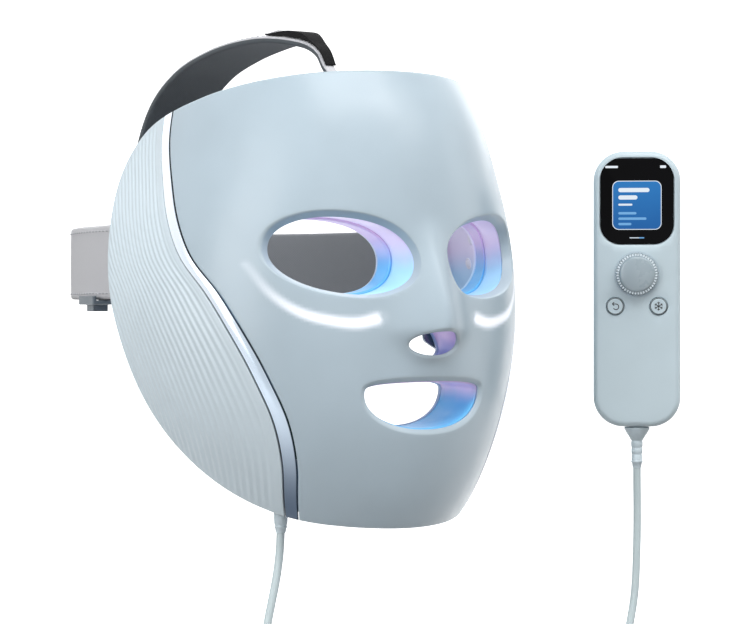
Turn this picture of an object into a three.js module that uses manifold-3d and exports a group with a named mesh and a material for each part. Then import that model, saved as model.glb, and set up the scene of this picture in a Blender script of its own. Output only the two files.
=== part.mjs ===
// A light-therapy face mask with its head harness and its wired hand control.
// Millimetres. Origin at the centre of the wearer's head, level with the eyes and the temple anchors.
// The mask faces -Y, +X is the wearer's left, +Z is up.

import * as THREE from 'three';
import { mergeVertices } from 'three/addons/utils/BufferGeometryUtils.js';
import Module from 'manifold-3d';

const wasm = await Module();
wasm.setup();

// ---------------------------------------------------------------- driving dimensions

const GAP = 0.35; // between two pieces that touch
const WALL = 2.5; // front shell, side panels and trim
const LINER_WALL = 2;
const RAD = Math.PI / 180;

// The mask's outer skin: at each height, half its width and how far it stands forward.
const SKIN_STATIONS = [
  { z: -140, half: 50, front: 76 },
  { z: -126, half: 64, front: 87 },
  { z: -105, half: 77.5, front: 96.5 },
  { z: -75, half: 90.5, front: 103.5 },
  { z: -42, half: 98.5, front: 105.5 },
  { z: -15, half: 100.5, front: 104.8 },
  { z: 15, half: 96, front: 103.6 },
  { z: 45, half: 87, front: 99.5 },
  { z: 72, half: 78.5, front: 91.5 },
  { z: 100, half: 68, front: 76 },
];
const LOW = -139; // every shell ends between these two heights
const HIGH = 99;
const FAR = 150; // past the mask in any direction
const SIDE_DEPTH = 45; // how far the sides run straight back past the widest line
const NOSE = { height: 13, halfWidth: 15, top: 22, tip: -32, base: -50 };

// The mask's edge, seen from the side as [y, z], from the forehead back over the temple and under the jaw.
const OUTLINE = [
  [-92, 89.8], [-64, 86.5], [-19, 77], [22, 63.5], [36, 44], [33.5, 16], [21, -26], [3, -68],
  [-26, -102], [-58, -121], [-92, -128],
];
// The trim's centre line, seen from the side, and its width at each end.
const TRIM_LINE = [
  [8, 84], [0, 58], [-14.4, 33], [-34, 3], [-52, -17], [-63, -37], [-70, -57], [-73.4, -76],
  [-71, -96], [-62, -119], [-56, -130],
];
const TRIM_WIDTH = { top: 7.5, bottom: 5.2 };

const EYE = { x: 38, z: 1, halfWidth: 29.7, halfHeight: 17.5, tilt: 8 * RAD, power: 2.2 };
const LIP = { deep: 5, wide: 1.6 }; // the turned-in edge of each eye hole
const MOUTH = { z: -63, halfWidth: 31.5, rise: 5, drop: 16 };
const NOSTRIL = { z: -39.5, halfWidth: 13, halfHeight: 5.2 };
// The room for the wearer's nose, seen from the front: right half of its outline from the top down.
const NOSE_POCKET = [[0, -11], [7, -16], [17, -28], [26, -38], [28, -44], [20, -48.5], [0, -49.5]];
const SLEEVE_WALL = 1.6;

// The liner hangs inside the skin: close to it round the edge, deep behind the middle.
const LINER_INSET = { edge: 5, side: 9, front: 27 };
const LINER_MARGIN = 4;
const LINER_BACK = 28;

// Under-eye light guide: centre line seen from the front, for the wearer's left.
const GUIDE_LINE = [[26, -27.5], [37, -30], [49, -28.7], [60, -25], [69.5, -17], [77.5, -3]];
const GUIDE_HALF = 2.7;
const GUIDE_THICK = 3;

const DRIVER_BOARD = [[-22, -84.2, 57], [22, -82.6, 67]]; // its two corners
const PLATE_THICK = 1.8;
const BOARD = { offset: 3, thick: 1.2 };
const PLATE_LINE = [[22, -30], [36, -36], [52, -37.5], [66, -32], [74, -22]]; // seen from the front
const PLATE_HALF = 8.5;
// A cooling stack, from the module out through the liner to its fan.
const STACK = { x: 52, y: -57.7, z: -36, yaw: 34 * RAD, module: 14, sink: 24, fan: 25 };
const LAYER = { moduleFrom: -2.4, module: 3.6, base: 2, fins: 6, fan: 6 };
const FIN = { count: 6, half: 0.6 };
const BLADES = 7;

const BAND = { halfWidth: 86, reach: 134, start: 22, power: 3, thick: 5, half: 18.5 };
const SLIDER = {
  x: -82.1, y: 72, yaw: 6.5 * RAD, half: 10, slack: 1.7, wall: 2.2, rise: 1.6,
  gripWide: 4.2, gripHalf: 4.5, gripDrop: 3.4,
};
const ANCHOR = { thick: 7, front: 5, slotFrom: 10, slotTo: 13.5, rim: 3.5 };
const TOP_ANCHOR = {
  half: 9, front: -72, back: -58, low: 78.5, high: 85, slotHalf: 6, slotFrom: -69, slotTo: -65.5,
};
// Crown band: centre line over the head, seen from the side as [y, z, width].
const CROWN_LINE = [
  [153.3, 19.3, 38], [152.2, 42, 38], [145.5, 67.5, 37], [131, 87.5, 36], [107, 101.5, 35], [78, 109, 34],
  [50, 112.5, 31], [27, 113, 24], [6, 110, 13], [-4, 107, 9], [-11, 102.5, 7], [-16, 95.5, 6],
  [-28, 88, 6], [-58, 84, 8],
];
const CROWN_THICK = 4;
const PAD_THICK = 4;
const PAD = { width: 84, height: 20, corner: 9, z: 55 };

const VIEW_YAW = 34 * RAD; // the hand control and the cord hang in a plane turned by this much
const HANDSET = { width: 43.5, height: 138, corner: 15, thick: 17, split: 8.5, wall: 1.8, face: 3 };
const HANDSET_AT = { across: 163, deep: 0, z: -13.5, turn: -6 * RAD };
const GLASS = { width: 36.5, height: 43, corner: 10, z: 43.9, thick: 1.2 };
const DISPLAY = { size: 25.4, z: 41.5 };
const DIAL = { z: 7.4, radius: 10.8, proud: 6.3, shaft: 2.9 };
const BUTTON = { x: 10.8, z: -8.6, radius: 4.25 };

const HANDSET_BOARD = [[-17, 7.2, -56], [17, 8.4, 50]];
const BATTERY = [[-15, 9.3, -38], [15, 14.4, 34]];

const CORD_RADIUS = 2;
const NOTCH_RADIUS = 4.2; // the opening in the liner's lower edge round the strain relief
const GLAND_AT = { across: -12.5, deep: -67.4, top: -112.5, bottom: -126 };
const COIL = { across: 0.5, deep: -71, z: -212, inner: 17.7, outer: 26.3, half: 6.3 };
// Cord routes in the hanging plane as [across, deep, z].
const MASK_LEAD = [
  [-12.6, -67.4, -130.3], [-13, -68.3, -139], [-14.5, -72, -151], [-16.8, -76, -163],
  [-18.8, -78.4, -174], [-19.5, -79, -184],
];
const HANDSET_LEAD = [
  [16, -75, -236.6], [24, -74.4, -238], [45, -70, -245.5], [75, -60, -253], [105, -44, -251],
  [132, -25, -235], [151, -7, -207], [161.5, 5, -173], [163.9, 8.5, -140], [163.9, 8.5, -104.2],
];

// ---------------------------------------------------------------- colours

const LOOKS = {
  shell: { color: 0xa9bfca, roughness: 0.38, metalness: 0 },
  panel: { color: 0xc4d4dc, roughness: 0.42, metalness: 0 },
  trim: { color: 0xdfe4ea, roughness: 0.12, metalness: 1 },
  liner: { color: 0xd9e2e8, roughness: 0.5, metalness: 0 },
  sleeve: { color: 0xb9a8e6, roughness: 0.45, metalness: 0 },
  gasket: { color: 0x8ecbf2, roughness: 0.55, metalness: 0 },
  guide: { color: 0xeef4ff, roughness: 0.3, metalness: 0 },
  board: { color: 0x1f5a3c, roughness: 0.5, metalness: 0 },
  steel: { color: 0xc9ced3, roughness: 0.25, metalness: 1 },
  sink: { color: 0xaab0b5, roughness: 0.4, metalness: 1 },
  ceramic: { color: 0xe6e6e0, roughness: 0.6, metalness: 0 },
  dark: { color: 0x2a2c30, roughness: 0.6, metalness: 0 },
  band: { color: 0xc8c8ce, roughness: 0.85, metalness: 0 },
  tab: { color: 0x141416, roughness: 0.9, metalness: 0 },
  glass: { color: 0x050608, roughness: 0.06, metalness: 0 },
  display: { color: 0x2f6fb5, roughness: 0.3, metalness: 0 },
  battery: { color: 0x5a6a7c, roughness: 0.4, metalness: 0 },
  cord: { color: 0xd6dce0, roughness: 0.6, metalness: 0 },
};

// ---------------------------------------------------------------- small tools

const smooth = (low, high, v) => {
  const u = Math.min(1, Math.max(0, (v - low) / (high - low)));
  return u * u * (3 - 2 * u);
};

function stationValue(z, key) {
  const rows = SKIN_STATIONS;
  const last = rows.length - 1;
  const at = Math.min(rows[last].z, Math.max(rows[0].z, z));
  let i = 0;
  while (i < last - 1 && at > rows[i + 1].z) i += 1;
  const slope = (k) => {
    const a = rows[Math.max(0, k - 1)];
    const b = rows[Math.min(last, k + 1)];
    return (b[key] - a[key]) / (b.z - a.z);
  };
  const span = rows[i + 1].z - rows[i].z;
  const u = (at - rows[i].z) / span;
  const rise = rows[i + 1][key] - rows[i][key];
  const bend = u * (1 - u) * ((1 - u) * (slope(i) * span - rise) - u * (slope(i + 1) * span - rise));
  return rows[i][key] + rise * u + bend;
}

function noseShape(x, z) {
  const ramp = z > NOSE.tip
    ? 1 - smooth(NOSE.tip, NOSE.top, z)
    : smooth(NOSE.base, NOSE.tip, z);
  const width = NOSE.halfWidth * (0.62 + 0.38 * ramp);
  return ramp * Math.exp(-((x / width) ** 2));
}

// A point on the skin: wrap is the angle round the head from the front, in radians; past a quarter turn
// the sides run straight back.
function skinPoint(wrap, z, insetSide, insetFront, nose) {
  const half = stationValue(z, 'half') - insetSide;
  const front = stationValue(z, 'front') - insetFront;
  const turn = Math.min(Math.abs(wrap), Math.PI / 2);
  const x = Math.sign(wrap) * half * Math.sin(turn);
  const back = (Math.abs(wrap) - turn) * 100;
  const y = back - front * Math.cos(turn) - nose * noseShape(x, z);
  return [x, y, z];
}

const evenInset = (depth) => () => [depth, depth];

function fullness(wrap, z) {
  const up = smooth(-124, -84, z) * (1 - smooth(46, 84, z));
  return up * (1 - smooth(40 * RAD, 88 * RAD, Math.abs(wrap)));
}

const linerInset = (extra) => (wrap, z) => {
  const full = fullness(wrap, z);
  return [
    LINER_INSET.edge + LINER_INSET.side * full + extra,
    LINER_INSET.edge + LINER_INSET.front * full + extra,
  ];
};

// Halfway between the shell and the liner: where an eye sleeve meets its gasket.
const middleInset = (extra) => (wrap, z) => {
  const full = fullness(wrap, z);
  return [LIP.deep + 6 * full + extra, LIP.deep + 16 * full + extra];
};

function toSolid(geometry) {
  const plain = new THREE.BufferGeometry();
  plain.setAttribute('position', geometry.getAttribute('position').clone());
  if (geometry.index) plain.setIndex(geometry.index.clone());
  const merged = mergeVertices(plain, 1e-4);
  return new wasm.Manifold(new wasm.Mesh({
    numProp: 3,
    vertProperties: new Float32Array(merged.attributes.position.array),
    triVerts: new Uint32Array(merged.index.array),
  }));
}

function toGeometry(solid) {
  const mesh = solid.getMesh();
  const geometry = new THREE.BufferGeometry();
  geometry.setAttribute('position', new THREE.BufferAttribute(mesh.vertProperties, 3));
  geometry.setIndex(new THREE.BufferAttribute(mesh.triVerts, 1));
  geometry.computeVertexNormals();
  return geometry;
}

const bothSides = (degrees) => [
  ...degrees.map((v) => -v * RAD), ...degrees.slice().reverse().map((v) => v * RAD),
];
const REAR_WRAP = 90 + SIDE_DEPTH / 100 / RAD;
const SHELL_GRID = { step: 11, wraps: bothSides([REAR_WRAP, 90, 80, 70, 60, 50, 40, 30, 21, 13, 8, 4, 0.5]) };
const LINER_GRID = { step: 15, wraps: bothSides([REAR_WRAP, 90, 78, 66, 54, 42, 30, 18, 6]) };

// The solid inside the skin at some inset, as a closed mesh of rows of points.
function headForm(inset, { grow = 0, grid = SHELL_GRID } = {}) {
  const low = (Math.floor(LOW / grid.step) - Math.sign(grow)) * grid.step;
  const high = (Math.ceil(HIGH / grid.step) + Math.sign(grow)) * grid.step;
  const rows = Math.round((high - low) / grid.step);
  const positions = [];
  const indices = [];
  const count = grid.wraps.length;
  const nose = grid === SHELL_GRID ? NOSE.height : 0;
  for (let j = 0; j <= rows; j += 1) {
    const z = low + ((high - low) * j) / rows;
    grid.wraps.forEach((wrap, i) => {
      const [side, front] = inset(wrap, z);
      const p = skinPoint(wrap, z, side, front, nose);
      if (i === 0 || i === count - 1) p[1] += grow;
      positions.push(...p);
    });
  }
  for (let j = 0; j < rows; j += 1) {
    for (let i = 0; i < count; i += 1) {
      const a = j * count + i;
      const b = j * count + ((i + 1) % count);
      indices.push(a, b, b + count, a, b + count, a + count);
    }
  }
  for (const j of [0, rows]) {
    const centre = positions.length / 3;
    positions.push(0, 0, low + ((high - low) * j) / rows);
    for (let i = 0; i < count; i += 1) {
      const a = j * count + i;
      const b = j * count + ((i + 1) % count);
      if (j === 0) indices.push(centre, b, a);
      else indices.push(centre, a, b);
    }
  }
  const geometry = new THREE.BufferGeometry();
  geometry.setAttribute('position', new THREE.Float32BufferAttribute(positions, 3));
  geometry.setIndex(indices);
  return toSolid(geometry);
}

function splinePoints(list, steps) {
  const curve = new THREE.CatmullRomCurve3(list.map(([a, b]) => new THREE.Vector3(a, b, 0)));
  return curve.getSpacedPoints(steps).map((p) => new THREE.Vector2(p.x, p.y));
}

function extruded(shape, depth, matrix) {
  const geometry = new THREE.ExtrudeGeometry(shape, { depth, bevelEnabled: false, curveSegments: 10 });
  geometry.applyMatrix4(matrix);
  return toSolid(geometry);
}

// A side-view outline in (y, z), swept along X.
function sideSweep(points, fromX, toX) {
  const turn = new THREE.Matrix4().set(0, 0, 1, fromX, 1, 0, 0, 0, 0, 1, 0, 0, 0, 0, 0, 1);
  return extruded(new THREE.Shape(points), toX - fromX, turn);
}

// A front-view outline in (x, z), swept along Y.
function frontSweep(points, fromY, toY) {
  const turn = new THREE.Matrix4().set(1, 0, 0, 0, 0, 0, -1, toY, 0, 1, 0, 0, 0, 0, 0, 1);
  return extruded(new THREE.Shape(points), toY - fromY, turn);
}

// A plan outline in (x, y), swept up Z.
function planSweep(points, fromZ, toZ) {
  return extruded(new THREE.Shape(points), toZ - fromZ, new THREE.Matrix4().makeTranslation(0, 0, fromZ));
}

function block(low, high) {
  const size = high.map((v, i) => v - low[i]);
  const geometry = new THREE.BoxGeometry(...size);
  geometry.translate(...low.map((v, i) => v + size[i] / 2));
  return toSolid(geometry);
}

// A cylinder along local Y, from one depth to another.
function rod(radius, fromY, toY, x = 0, z = 0, segments = 24) {
  const geometry = new THREE.CylinderGeometry(radius, radius, toY - fromY, segments);
  geometry.translate(x, (fromY + toY) / 2, z);
  return toSolid(geometry);
}

function ovalPoints(centreX, centreZ, halfWidth, halfHeight, { tilt = 0, power = 2, steps = 32 } = {}) {
  const points = [];
  for (let k = 0; k < steps; k += 1) {
    const a = (2 * Math.PI * k) / steps;
    const u = halfWidth * Math.sign(Math.cos(a)) * Math.abs(Math.cos(a)) ** (2 / power);
    const v = halfHeight * Math.sign(Math.sin(a)) * Math.abs(Math.sin(a)) ** (2 / power);
    points.push(new THREE.Vector2(
      centreX + u * Math.cos(tilt) - v * Math.sin(tilt),
      centreZ + u * Math.sin(tilt) + v * Math.cos(tilt),
    ));
  }
  return points;
}

const eyePoints = (side, grow) => ovalPoints(
  side * EYE.x, EYE.z, EYE.halfWidth + grow, EYE.halfHeight + grow,
  { tilt: side * EYE.tilt, power: EYE.power, steps: 28 },
);
const nostrilPoints = (grow) => ovalPoints(
  0, NOSTRIL.z, NOSTRIL.halfWidth + grow, NOSTRIL.halfHeight + grow, { steps: 18 },
);
const NOSE_POCKET_CENTRE = -34;
function pocketPoints(grow) {
  const half = splinePoints(NOSE_POCKET, 12);
  const mirrored = half.slice(1, -1).reverse().map((p) => new THREE.Vector2(-p.x, p.y));
  return [...half, ...mirrored].map((p) => {
    const out = new THREE.Vector2(p.x, p.y - NOSE_POCKET_CENTRE).normalize().multiplyScalar(grow);
    return p.clone().add(out);
  });
}

// The mouth: a flat arch above its corners, a deep bowl below.
function mouthPoints(grow) {
  const points = [];
  const steps = 26;
  for (let k = 0; k < steps; k += 1) {
    const a = (2 * Math.PI * k) / steps;
    const reach = Math.sin(a) > 0 ? MOUTH.rise : MOUTH.drop;
    const flat = Math.sin(a) > 0 ? 0.5 : 1;
    points.push(new THREE.Vector2(
      (MOUTH.halfWidth + grow) * Math.sign(Math.cos(a)) * Math.abs(Math.cos(a)) ** 0.9,
      MOUTH.z + (reach + grow) * Math.sign(Math.sin(a)) * Math.abs(Math.sin(a)) ** flat,
    ));
  }
  return points;
}

function roundedPoints(width, height, corner, centreZ) {
  const points = [];
  const steps = 5;
  for (const [sx, sz, from] of [[1, 1, 0], [-1, 1, 90], [-1, -1, 180], [1, -1, 270]]) {
    for (let k = 0; k <= steps; k += 1) {
      const a = (from + (90 * k) / steps) * RAD;
      points.push(new THREE.Vector2(
        sx * (width / 2 - corner) + corner * Math.cos(a),
        centreZ + sz * (height / 2 - corner) + corner * Math.sin(a),
      ));
    }
  }
  return points;
}

const model = new THREE.Group();

function add(name, look, solid, parent = model) {
  const geometry = solid.isBufferGeometry ? solid : toGeometry(solid);
  const mesh = new THREE.Mesh(geometry, new THREE.MeshStandardMaterial(LOOKS[look]));
  mesh.name = name;
  parent.add(mesh);
}

const SIDES = [['right', -1], ['left', 1]];

// ---------------------------------------------------------------- mask shells

function outlineSweep(margin) {
  const inward = OUTLINE.map(([y, z], i) => {
    const before = OUTLINE[Math.max(0, i - 1)];
    const after = OUTLINE[Math.min(OUTLINE.length - 1, i + 1)];
    const along = new THREE.Vector2(after[0] - before[0], after[1] - before[1]).normalize();
    return [y + along.y * margin, z - along.x * margin];
  });
  const edge = splinePoints(inward, 40);
  const first = edge[0];
  const last = edge[edge.length - 1];
  return sideSweep([
    ...edge, new THREE.Vector2(-FAR, last.y), new THREE.Vector2(-FAR, first.y),
  ], -FAR, FAR);
}

function trimEdge(shift) {
  return splinePoints(TRIM_LINE, 26).map((p) => {
    const width = TRIM_WIDTH.bottom + (TRIM_WIDTH.top - TRIM_WIDTH.bottom) * smooth(-90, 70, p.y);
    return new THREE.Vector2(p.x + (Math.sign(shift) * width) / 2 + shift, p.y);
  });
}

function regionBetween(frontEdge, backEdge, fromX, toX) {
  return sideSweep([...frontEdge, ...backEdge.slice().reverse()], fromX, toX);
}

const outerForm = headForm(evenInset(0));
const past = { grow: 20 };
const shellInner = headForm(evenInset(WALL), past);
const outlineBody = outlineSweep(0);
const shellLayer = outerForm.subtract(shellInner).intersect(outlineBody);

const farFront = [new THREE.Vector2(-FAR, FAR), new THREE.Vector2(-FAR, -FAR)];
const farBack = [new THREE.Vector2(FAR, FAR), new THREE.Vector2(FAR, -FAR)];
const reach = (edge) => [
  new THREE.Vector2(edge[0].x, FAR), ...edge, new THREE.Vector2(edge[edge.length - 1].x, -FAR),
];
const frontRegion = regionBetween(farFront, reach(trimEdge(-GAP)), -FAR, FAR);

const lipLayer = headForm(evenInset(1)).subtract(headForm(evenInset(LIP.deep), past));
let frontShell = shellLayer.intersect(frontRegion);
for (const [, side] of SIDES) {
  const lip = frontSweep(eyePoints(side, LIP.wide), -FAR, 0).intersect(lipLayer);
  frontShell = frontShell.add(lip).subtract(frontSweep(eyePoints(side, 0), -FAR, 0));
}
frontShell = frontShell
  .subtract(frontSweep(mouthPoints(0.8), -FAR, 0))
  .subtract(frontSweep(nostrilPoints(0.4), -FAR, 0));
add('front_shell', 'shell', frontShell);

for (const [word, side] of SIDES) {
  const half = block([side > 0 ? 0 : -FAR, -FAR, -FAR], [side > 0 ? FAR : 0, FAR, FAR]);
  const sideLayer = shellLayer.intersect(half);
  const trimRegion = regionBetween(reach(trimEdge(-1e-6)), reach(trimEdge(1e-6)), -FAR, FAR);
  const backRegion = regionBetween(reach(trimEdge(GAP)), farBack, -FAR, FAR);
  add(`trim_strip_${word}`, 'trim', sideLayer.intersect(trimRegion));
  add(`side_panel_${word}`, 'panel', sideLayer.intersect(backRegion));
}

// ---------------------------------------------------------------- liner and what goes through it

function stackPlace(side) {
  return new THREE.Matrix4()
    .makeTranslation(side * STACK.x, STACK.y, STACK.z)
    .multiply(new THREE.Matrix4().makeRotationZ(side * STACK.yaw));
}

function stackBlock(side, half, fromY, toY) {
  const geometry = new THREE.BoxGeometry(2 * half, toY - fromY, 2 * half);
  geometry.translate(0, (fromY + toY) / 2, 0);
  geometry.applyMatrix4(stackPlace(side));
  return toSolid(geometry);
}

const inside = { grid: LINER_GRID };
const insidePast = { grow: 20, grid: LINER_GRID };
const linerOuter = headForm(linerInset(0), inside);
const linerInner = headForm(linerInset(LINER_WALL), insidePast);
const linerOutline = outlineSweep(LINER_MARGIN);
const linerSpan = block([-FAR, -FAR, -FAR], [FAR, LINER_BACK, FAR]);

const glandNotch = toSolid(new THREE.CylinderGeometry(NOTCH_RADIUS, NOTCH_RADIUS, 36, 14)
  .rotateX(Math.PI / 2)
  .translate(GLAND_AT.across, GLAND_AT.deep, GLAND_AT.top - 17)
  .rotateZ(-VIEW_YAW));
let liner = linerOuter.subtract(linerInner).intersect(linerOutline).intersect(linerSpan).subtract(glandNotch);
for (const [, side] of SIDES) {
  liner = liner
    .subtract(frontSweep(eyePoints(side, 0), -FAR, 0))
    .subtract(stackBlock(side, STACK.module / 2 + GAP, -8, 8));
}
liner = liner
  .subtract(frontSweep(mouthPoints(0), -FAR, 0))
  .subtract(frontSweep(pocketPoints(0), -FAR, 0));
add('inner_liner', 'liner', liner);

const underShell = headForm(evenInset(WALL + GAP));
const underLip = headForm(evenInset(LIP.deep + GAP));
const beyondLiner = headForm(linerInset(-GAP), insidePast);

function tunnel(outlineOf, grow, outerLimit, innerLimit) {
  return frontSweep(outlineOf(grow + SLEEVE_WALL), -FAR, 0)
    .subtract(frontSweep(outlineOf(grow), -FAR, 0))
    .intersect(outerLimit)
    .subtract(innerLimit);
}

const middleOut = headForm(middleInset(-GAP / 2), insidePast);
const middleIn = headForm(middleInset(GAP / 2), inside);
for (const [word, side] of SIDES) {
  const outline = (grow) => eyePoints(side, grow);
  add(`eye_sleeve_${word}`, 'sleeve', tunnel(outline, 0.3, underLip, middleOut));
  add(`eye_gasket_${word}`, 'gasket', tunnel(outline, -0.6, middleIn, beyondLiner));
}
add('mouth_sleeve', 'sleeve', tunnel(mouthPoints, 0.3, underShell, beyondLiner));
add('nose_sleeve', 'sleeve', tunnel(pocketPoints, 0.3, underShell, beyondLiner));

// ---------------------------------------------------------------- lights

function bentBar(line, half) {
  const centre = splinePoints(line, 14);
  const edge = (sign) => centre.map((p, i) => {
    const before = centre[Math.max(0, i - 1)];
    const after = centre[Math.min(centre.length - 1, i + 1)];
    const along = after.clone().sub(before).normalize();
    const taper = half * (1 - 0.45 * smooth(0.6, 1, i / (centre.length - 1)));
    return new THREE.Vector2(p.x - sign * along.y * taper, p.y + sign * along.x * taper);
  });
  return [...edge(-1), ...edge(1).reverse()];
}

const guideBack = headForm(evenInset(WALL + GAP + GUIDE_THICK), past);
for (const [word, side] of SIDES) {
  const line = GUIDE_LINE.map(([x, z]) => [side * x, z]);
  const bar = frontSweep(bentBar(line, GUIDE_HALF), -FAR, -8);
  add(`light_guide_${word}`, 'guide', bar.intersect(underShell).subtract(guideBack));
}

const boardFront = headForm(linerInset(-BOARD.offset - BOARD.thick), inside);
const boardBack = headForm(linerInset(-BOARD.offset), insidePast);
const boardLayer = boardFront.subtract(boardBack);
const boardPatch = (x0, x1, z0, z1) => {
  const corners = [[x0, z0], [x1, z0], [x1, z1], [x0, z1]].map(([x, z]) => new THREE.Vector2(x, z));
  return boardLayer.intersect(frontSweep(corners, -FAR, -8));
};
add('led_board_forehead', 'board', boardPatch(-56, 56, 26, 62));
add('led_board_cheek_right', 'board', boardPatch(-76, -38, -94, -62));
add('led_board_cheek_left', 'board', boardPatch(38, 76, -94, -62));
add('led_board_chin', 'board', boardPatch(-30, 30, -106, -84));

// ---------------------------------------------------------------- cooling

function plateSolid(side) {
  const front = headForm(linerInset(LINER_WALL + GAP), inside);
  const back = headForm(linerInset(LINER_WALL + GAP + PLATE_THICK), insidePast);
  const crescent = bentBar(PLATE_LINE.map(([x, z]) => [side * x, z]), PLATE_HALF);
  return frontSweep(crescent, -FAR, -8).intersect(front).subtract(back);
}

for (const [word, side] of SIDES) {
  const place = stackPlace(side);
  const holder = new THREE.Group();
  holder.applyMatrix4(place);
  model.add(holder);
  add(`cold_plate_${word}`, 'steel', plateSolid(side));
  const sinkFrom = LAYER.moduleFrom - GAP;
  const core = STACK.module / 2;
  add(`thermoelectric_module_${word}`, 'ceramic',
    block([-core, LAYER.moduleFrom, -core], [core, LAYER.moduleFrom + LAYER.module, core]), holder);
  const plate = STACK.sink / 2;
  const finTip = sinkFrom - LAYER.fins;
  let sink = block([-plate, sinkFrom - LAYER.base, -plate], [plate, sinkFrom, plate]);
  for (let k = 0; k < FIN.count; k += 1) {
    const z = -plate + 1 + (k * (STACK.sink - 2)) / (FIN.count - 1);
    sink = sink.add(block([-plate, finTip, z - FIN.half], [plate, sinkFrom - 1, z + FIN.half]));
  }
  add(`heat_sink_${word}`, 'sink', sink, holder);
  const fanBack = finTip - GAP;
  const fanFront = fanBack - LAYER.fan;
  const half = STACK.fan / 2;
  const frame = block([-half, fanFront, -half], [half, fanBack, half])
    .subtract(rod(half - 1.3, fanFront - 1, fanBack - 1.2))
    .subtract(rod(half - 1.3, fanFront - 1, fanBack + 1).subtract(rod(6, fanFront - 2, fanBack + 2))
      .subtract(block([-half, fanFront - 2, -1.4], [half, fanBack + 2, 1.4])))
    .add(rod(1, fanBack - 4, fanBack - 0.5, 0, 0, 12));
  add(`fan_frame_${word}`, 'dark', frame, holder);
  let rotor = rod(5.5, fanFront + 0.6, fanBack - 1.9);
  for (let k = 0; k < BLADES; k += 1) {
    const blade = new THREE.BoxGeometry(half - 7, 3, 0.9);
    blade.rotateX(35 * RAD);
    blade.translate(5 + (half - 7) / 2, fanFront + 2.6, 0);
    blade.rotateY((k * 2 * Math.PI) / BLADES);
    rotor = rotor.add(toSolid(blade));
  }
  rotor = rotor.subtract(rod(1.3, fanFront + 1.6, fanBack, 0, 0, 12));
  add(`fan_rotor_${word}`, 'dark', rotor, holder);
}

add('driver_board', 'board', block(...DRIVER_BOARD));

// ---------------------------------------------------------------- harness

const bandOffset = (inset) => {
  const points = [];
  const steps = 40;
  for (let k = 0; k <= steps; k += 1) {
    const a = (Math.PI * k) / steps;
    points.push(new THREE.Vector2(
      (BAND.halfWidth - inset) * Math.sign(Math.cos(a)) * Math.abs(Math.cos(a)) ** (2 / BAND.power),
      BAND.start + (BAND.reach - inset) * Math.sin(a) ** (2 / BAND.power),
    ));
  }
  return points;
};
add('rear_band', 'band', planSweep(
  [...bandOffset(0), ...bandOffset(BAND.thick).reverse()], -BAND.half, BAND.half,
));

for (const [word, side] of SIDES) {
  const low = side > 0 ? BAND.halfWidth - ANCHOR.thick : -BAND.halfWidth;
  const slotHalf = BAND.half - ANCHOR.rim;
  const anchor = block([low, ANCHOR.front, -BAND.half], [low + ANCHOR.thick, BAND.start - GAP, BAND.half])
    .subtract(block([-FAR, ANCHOR.slotFrom, -slotHalf], [FAR, ANCHOR.slotTo, slotHalf]));
  add(`strap_anchor_${word}`, 'dark', anchor);
}

// A clip round the lower edge of the band, on its near side.
const clipHolder = new THREE.Group();
clipHolder.position.set(SLIDER.x, SLIDER.y, -BAND.half);
clipHolder.rotation.z = -SLIDER.yaw;
model.add(clipHolder);
const clipInside = BAND.thick / 2 + SLIDER.slack;
const clipFloor = -0.6;
const clipFoot = clipFloor - SLIDER.wall;
const clip = block(
  [-clipInside - SLIDER.wall, -SLIDER.half, clipFoot], [clipInside + SLIDER.wall, SLIDER.half, SLIDER.rise],
).subtract(block([-clipInside, -SLIDER.half - 1, clipFloor], [clipInside, SLIDER.half + 1, FAR]))
  .add(block(
    [-SLIDER.gripWide, -SLIDER.gripHalf, clipFoot - SLIDER.gripDrop],
    [SLIDER.gripWide, SLIDER.gripHalf, clipFoot + 0.5],
  ));
add('band_slider', 'dark', clip, clipHolder);

// A strap of varying width and thickness over a line seen from the side.
function strapSolid(line, steps, layer) {
  const curve = new THREE.CatmullRomCurve3(line.map(([y, z, width]) => new THREE.Vector3(y, z, width)));
  const points = curve.getPoints(steps);
  const positions = [];
  const indices = [];
  points.forEach((p, i) => {
    const before = points[Math.max(0, i - 1)];
    const after = points[Math.min(steps, i + 1)];
    const along = new THREE.Vector2(after.x - before.x, after.y - before.y).normalize();
    const [under, over] = layer(i / steps);
    for (const [sign, lift] of [[-1, under], [1, under], [1, over], [-1, over]]) {
      positions.push((sign * p.z) / 2, p.x + along.y * lift, p.y - along.x * lift);
    }
  });
  for (let i = 0; i < steps; i += 1) {
    for (let k = 0; k < 4; k += 1) {
      const a = 4 * i + k;
      const b = 4 * i + ((k + 1) % 4);
      indices.push(a, b, b + 4, a, b + 4, a + 4);
    }
  }
  const end = 4 * steps;
  indices.push(0, 2, 1, 0, 3, 2, end, end + 1, end + 2, end, end + 2, end + 3);
  const geometry = new THREE.BufferGeometry();
  geometry.setAttribute('position', new THREE.Float32BufferAttribute(positions, 3));
  geometry.setIndex(indices);
  return toSolid(geometry);
}

add('top_band', 'band', strapSolid(CROWN_LINE, 40, () => [-CROWN_THICK / 2, CROWN_THICK / 2]));
const tabLine = CROWN_LINE.slice(7, 12);
add('top_tab', 'tab', strapSolid(tabLine, 16, (u) => [
  CROWN_THICK / 2 + GAP, CROWN_THICK / 2 + GAP + 0.8 + 2.4 * smooth(0, 0.4, u) * (1 - smooth(0.5, 0.75, u)),
]));
add('top_anchor', 'dark', block(
  [-TOP_ANCHOR.half, TOP_ANCHOR.front, TOP_ANCHOR.low], [TOP_ANCHOR.half, TOP_ANCHOR.back - GAP, TOP_ANCHOR.high],
).subtract(block(
  [-TOP_ANCHOR.slotHalf, TOP_ANCHOR.slotFrom, TOP_ANCHOR.low - 5],
  [TOP_ANCHOR.slotHalf, TOP_ANCHOR.slotTo, TOP_ANCHOR.high + 5],
)));

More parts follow.
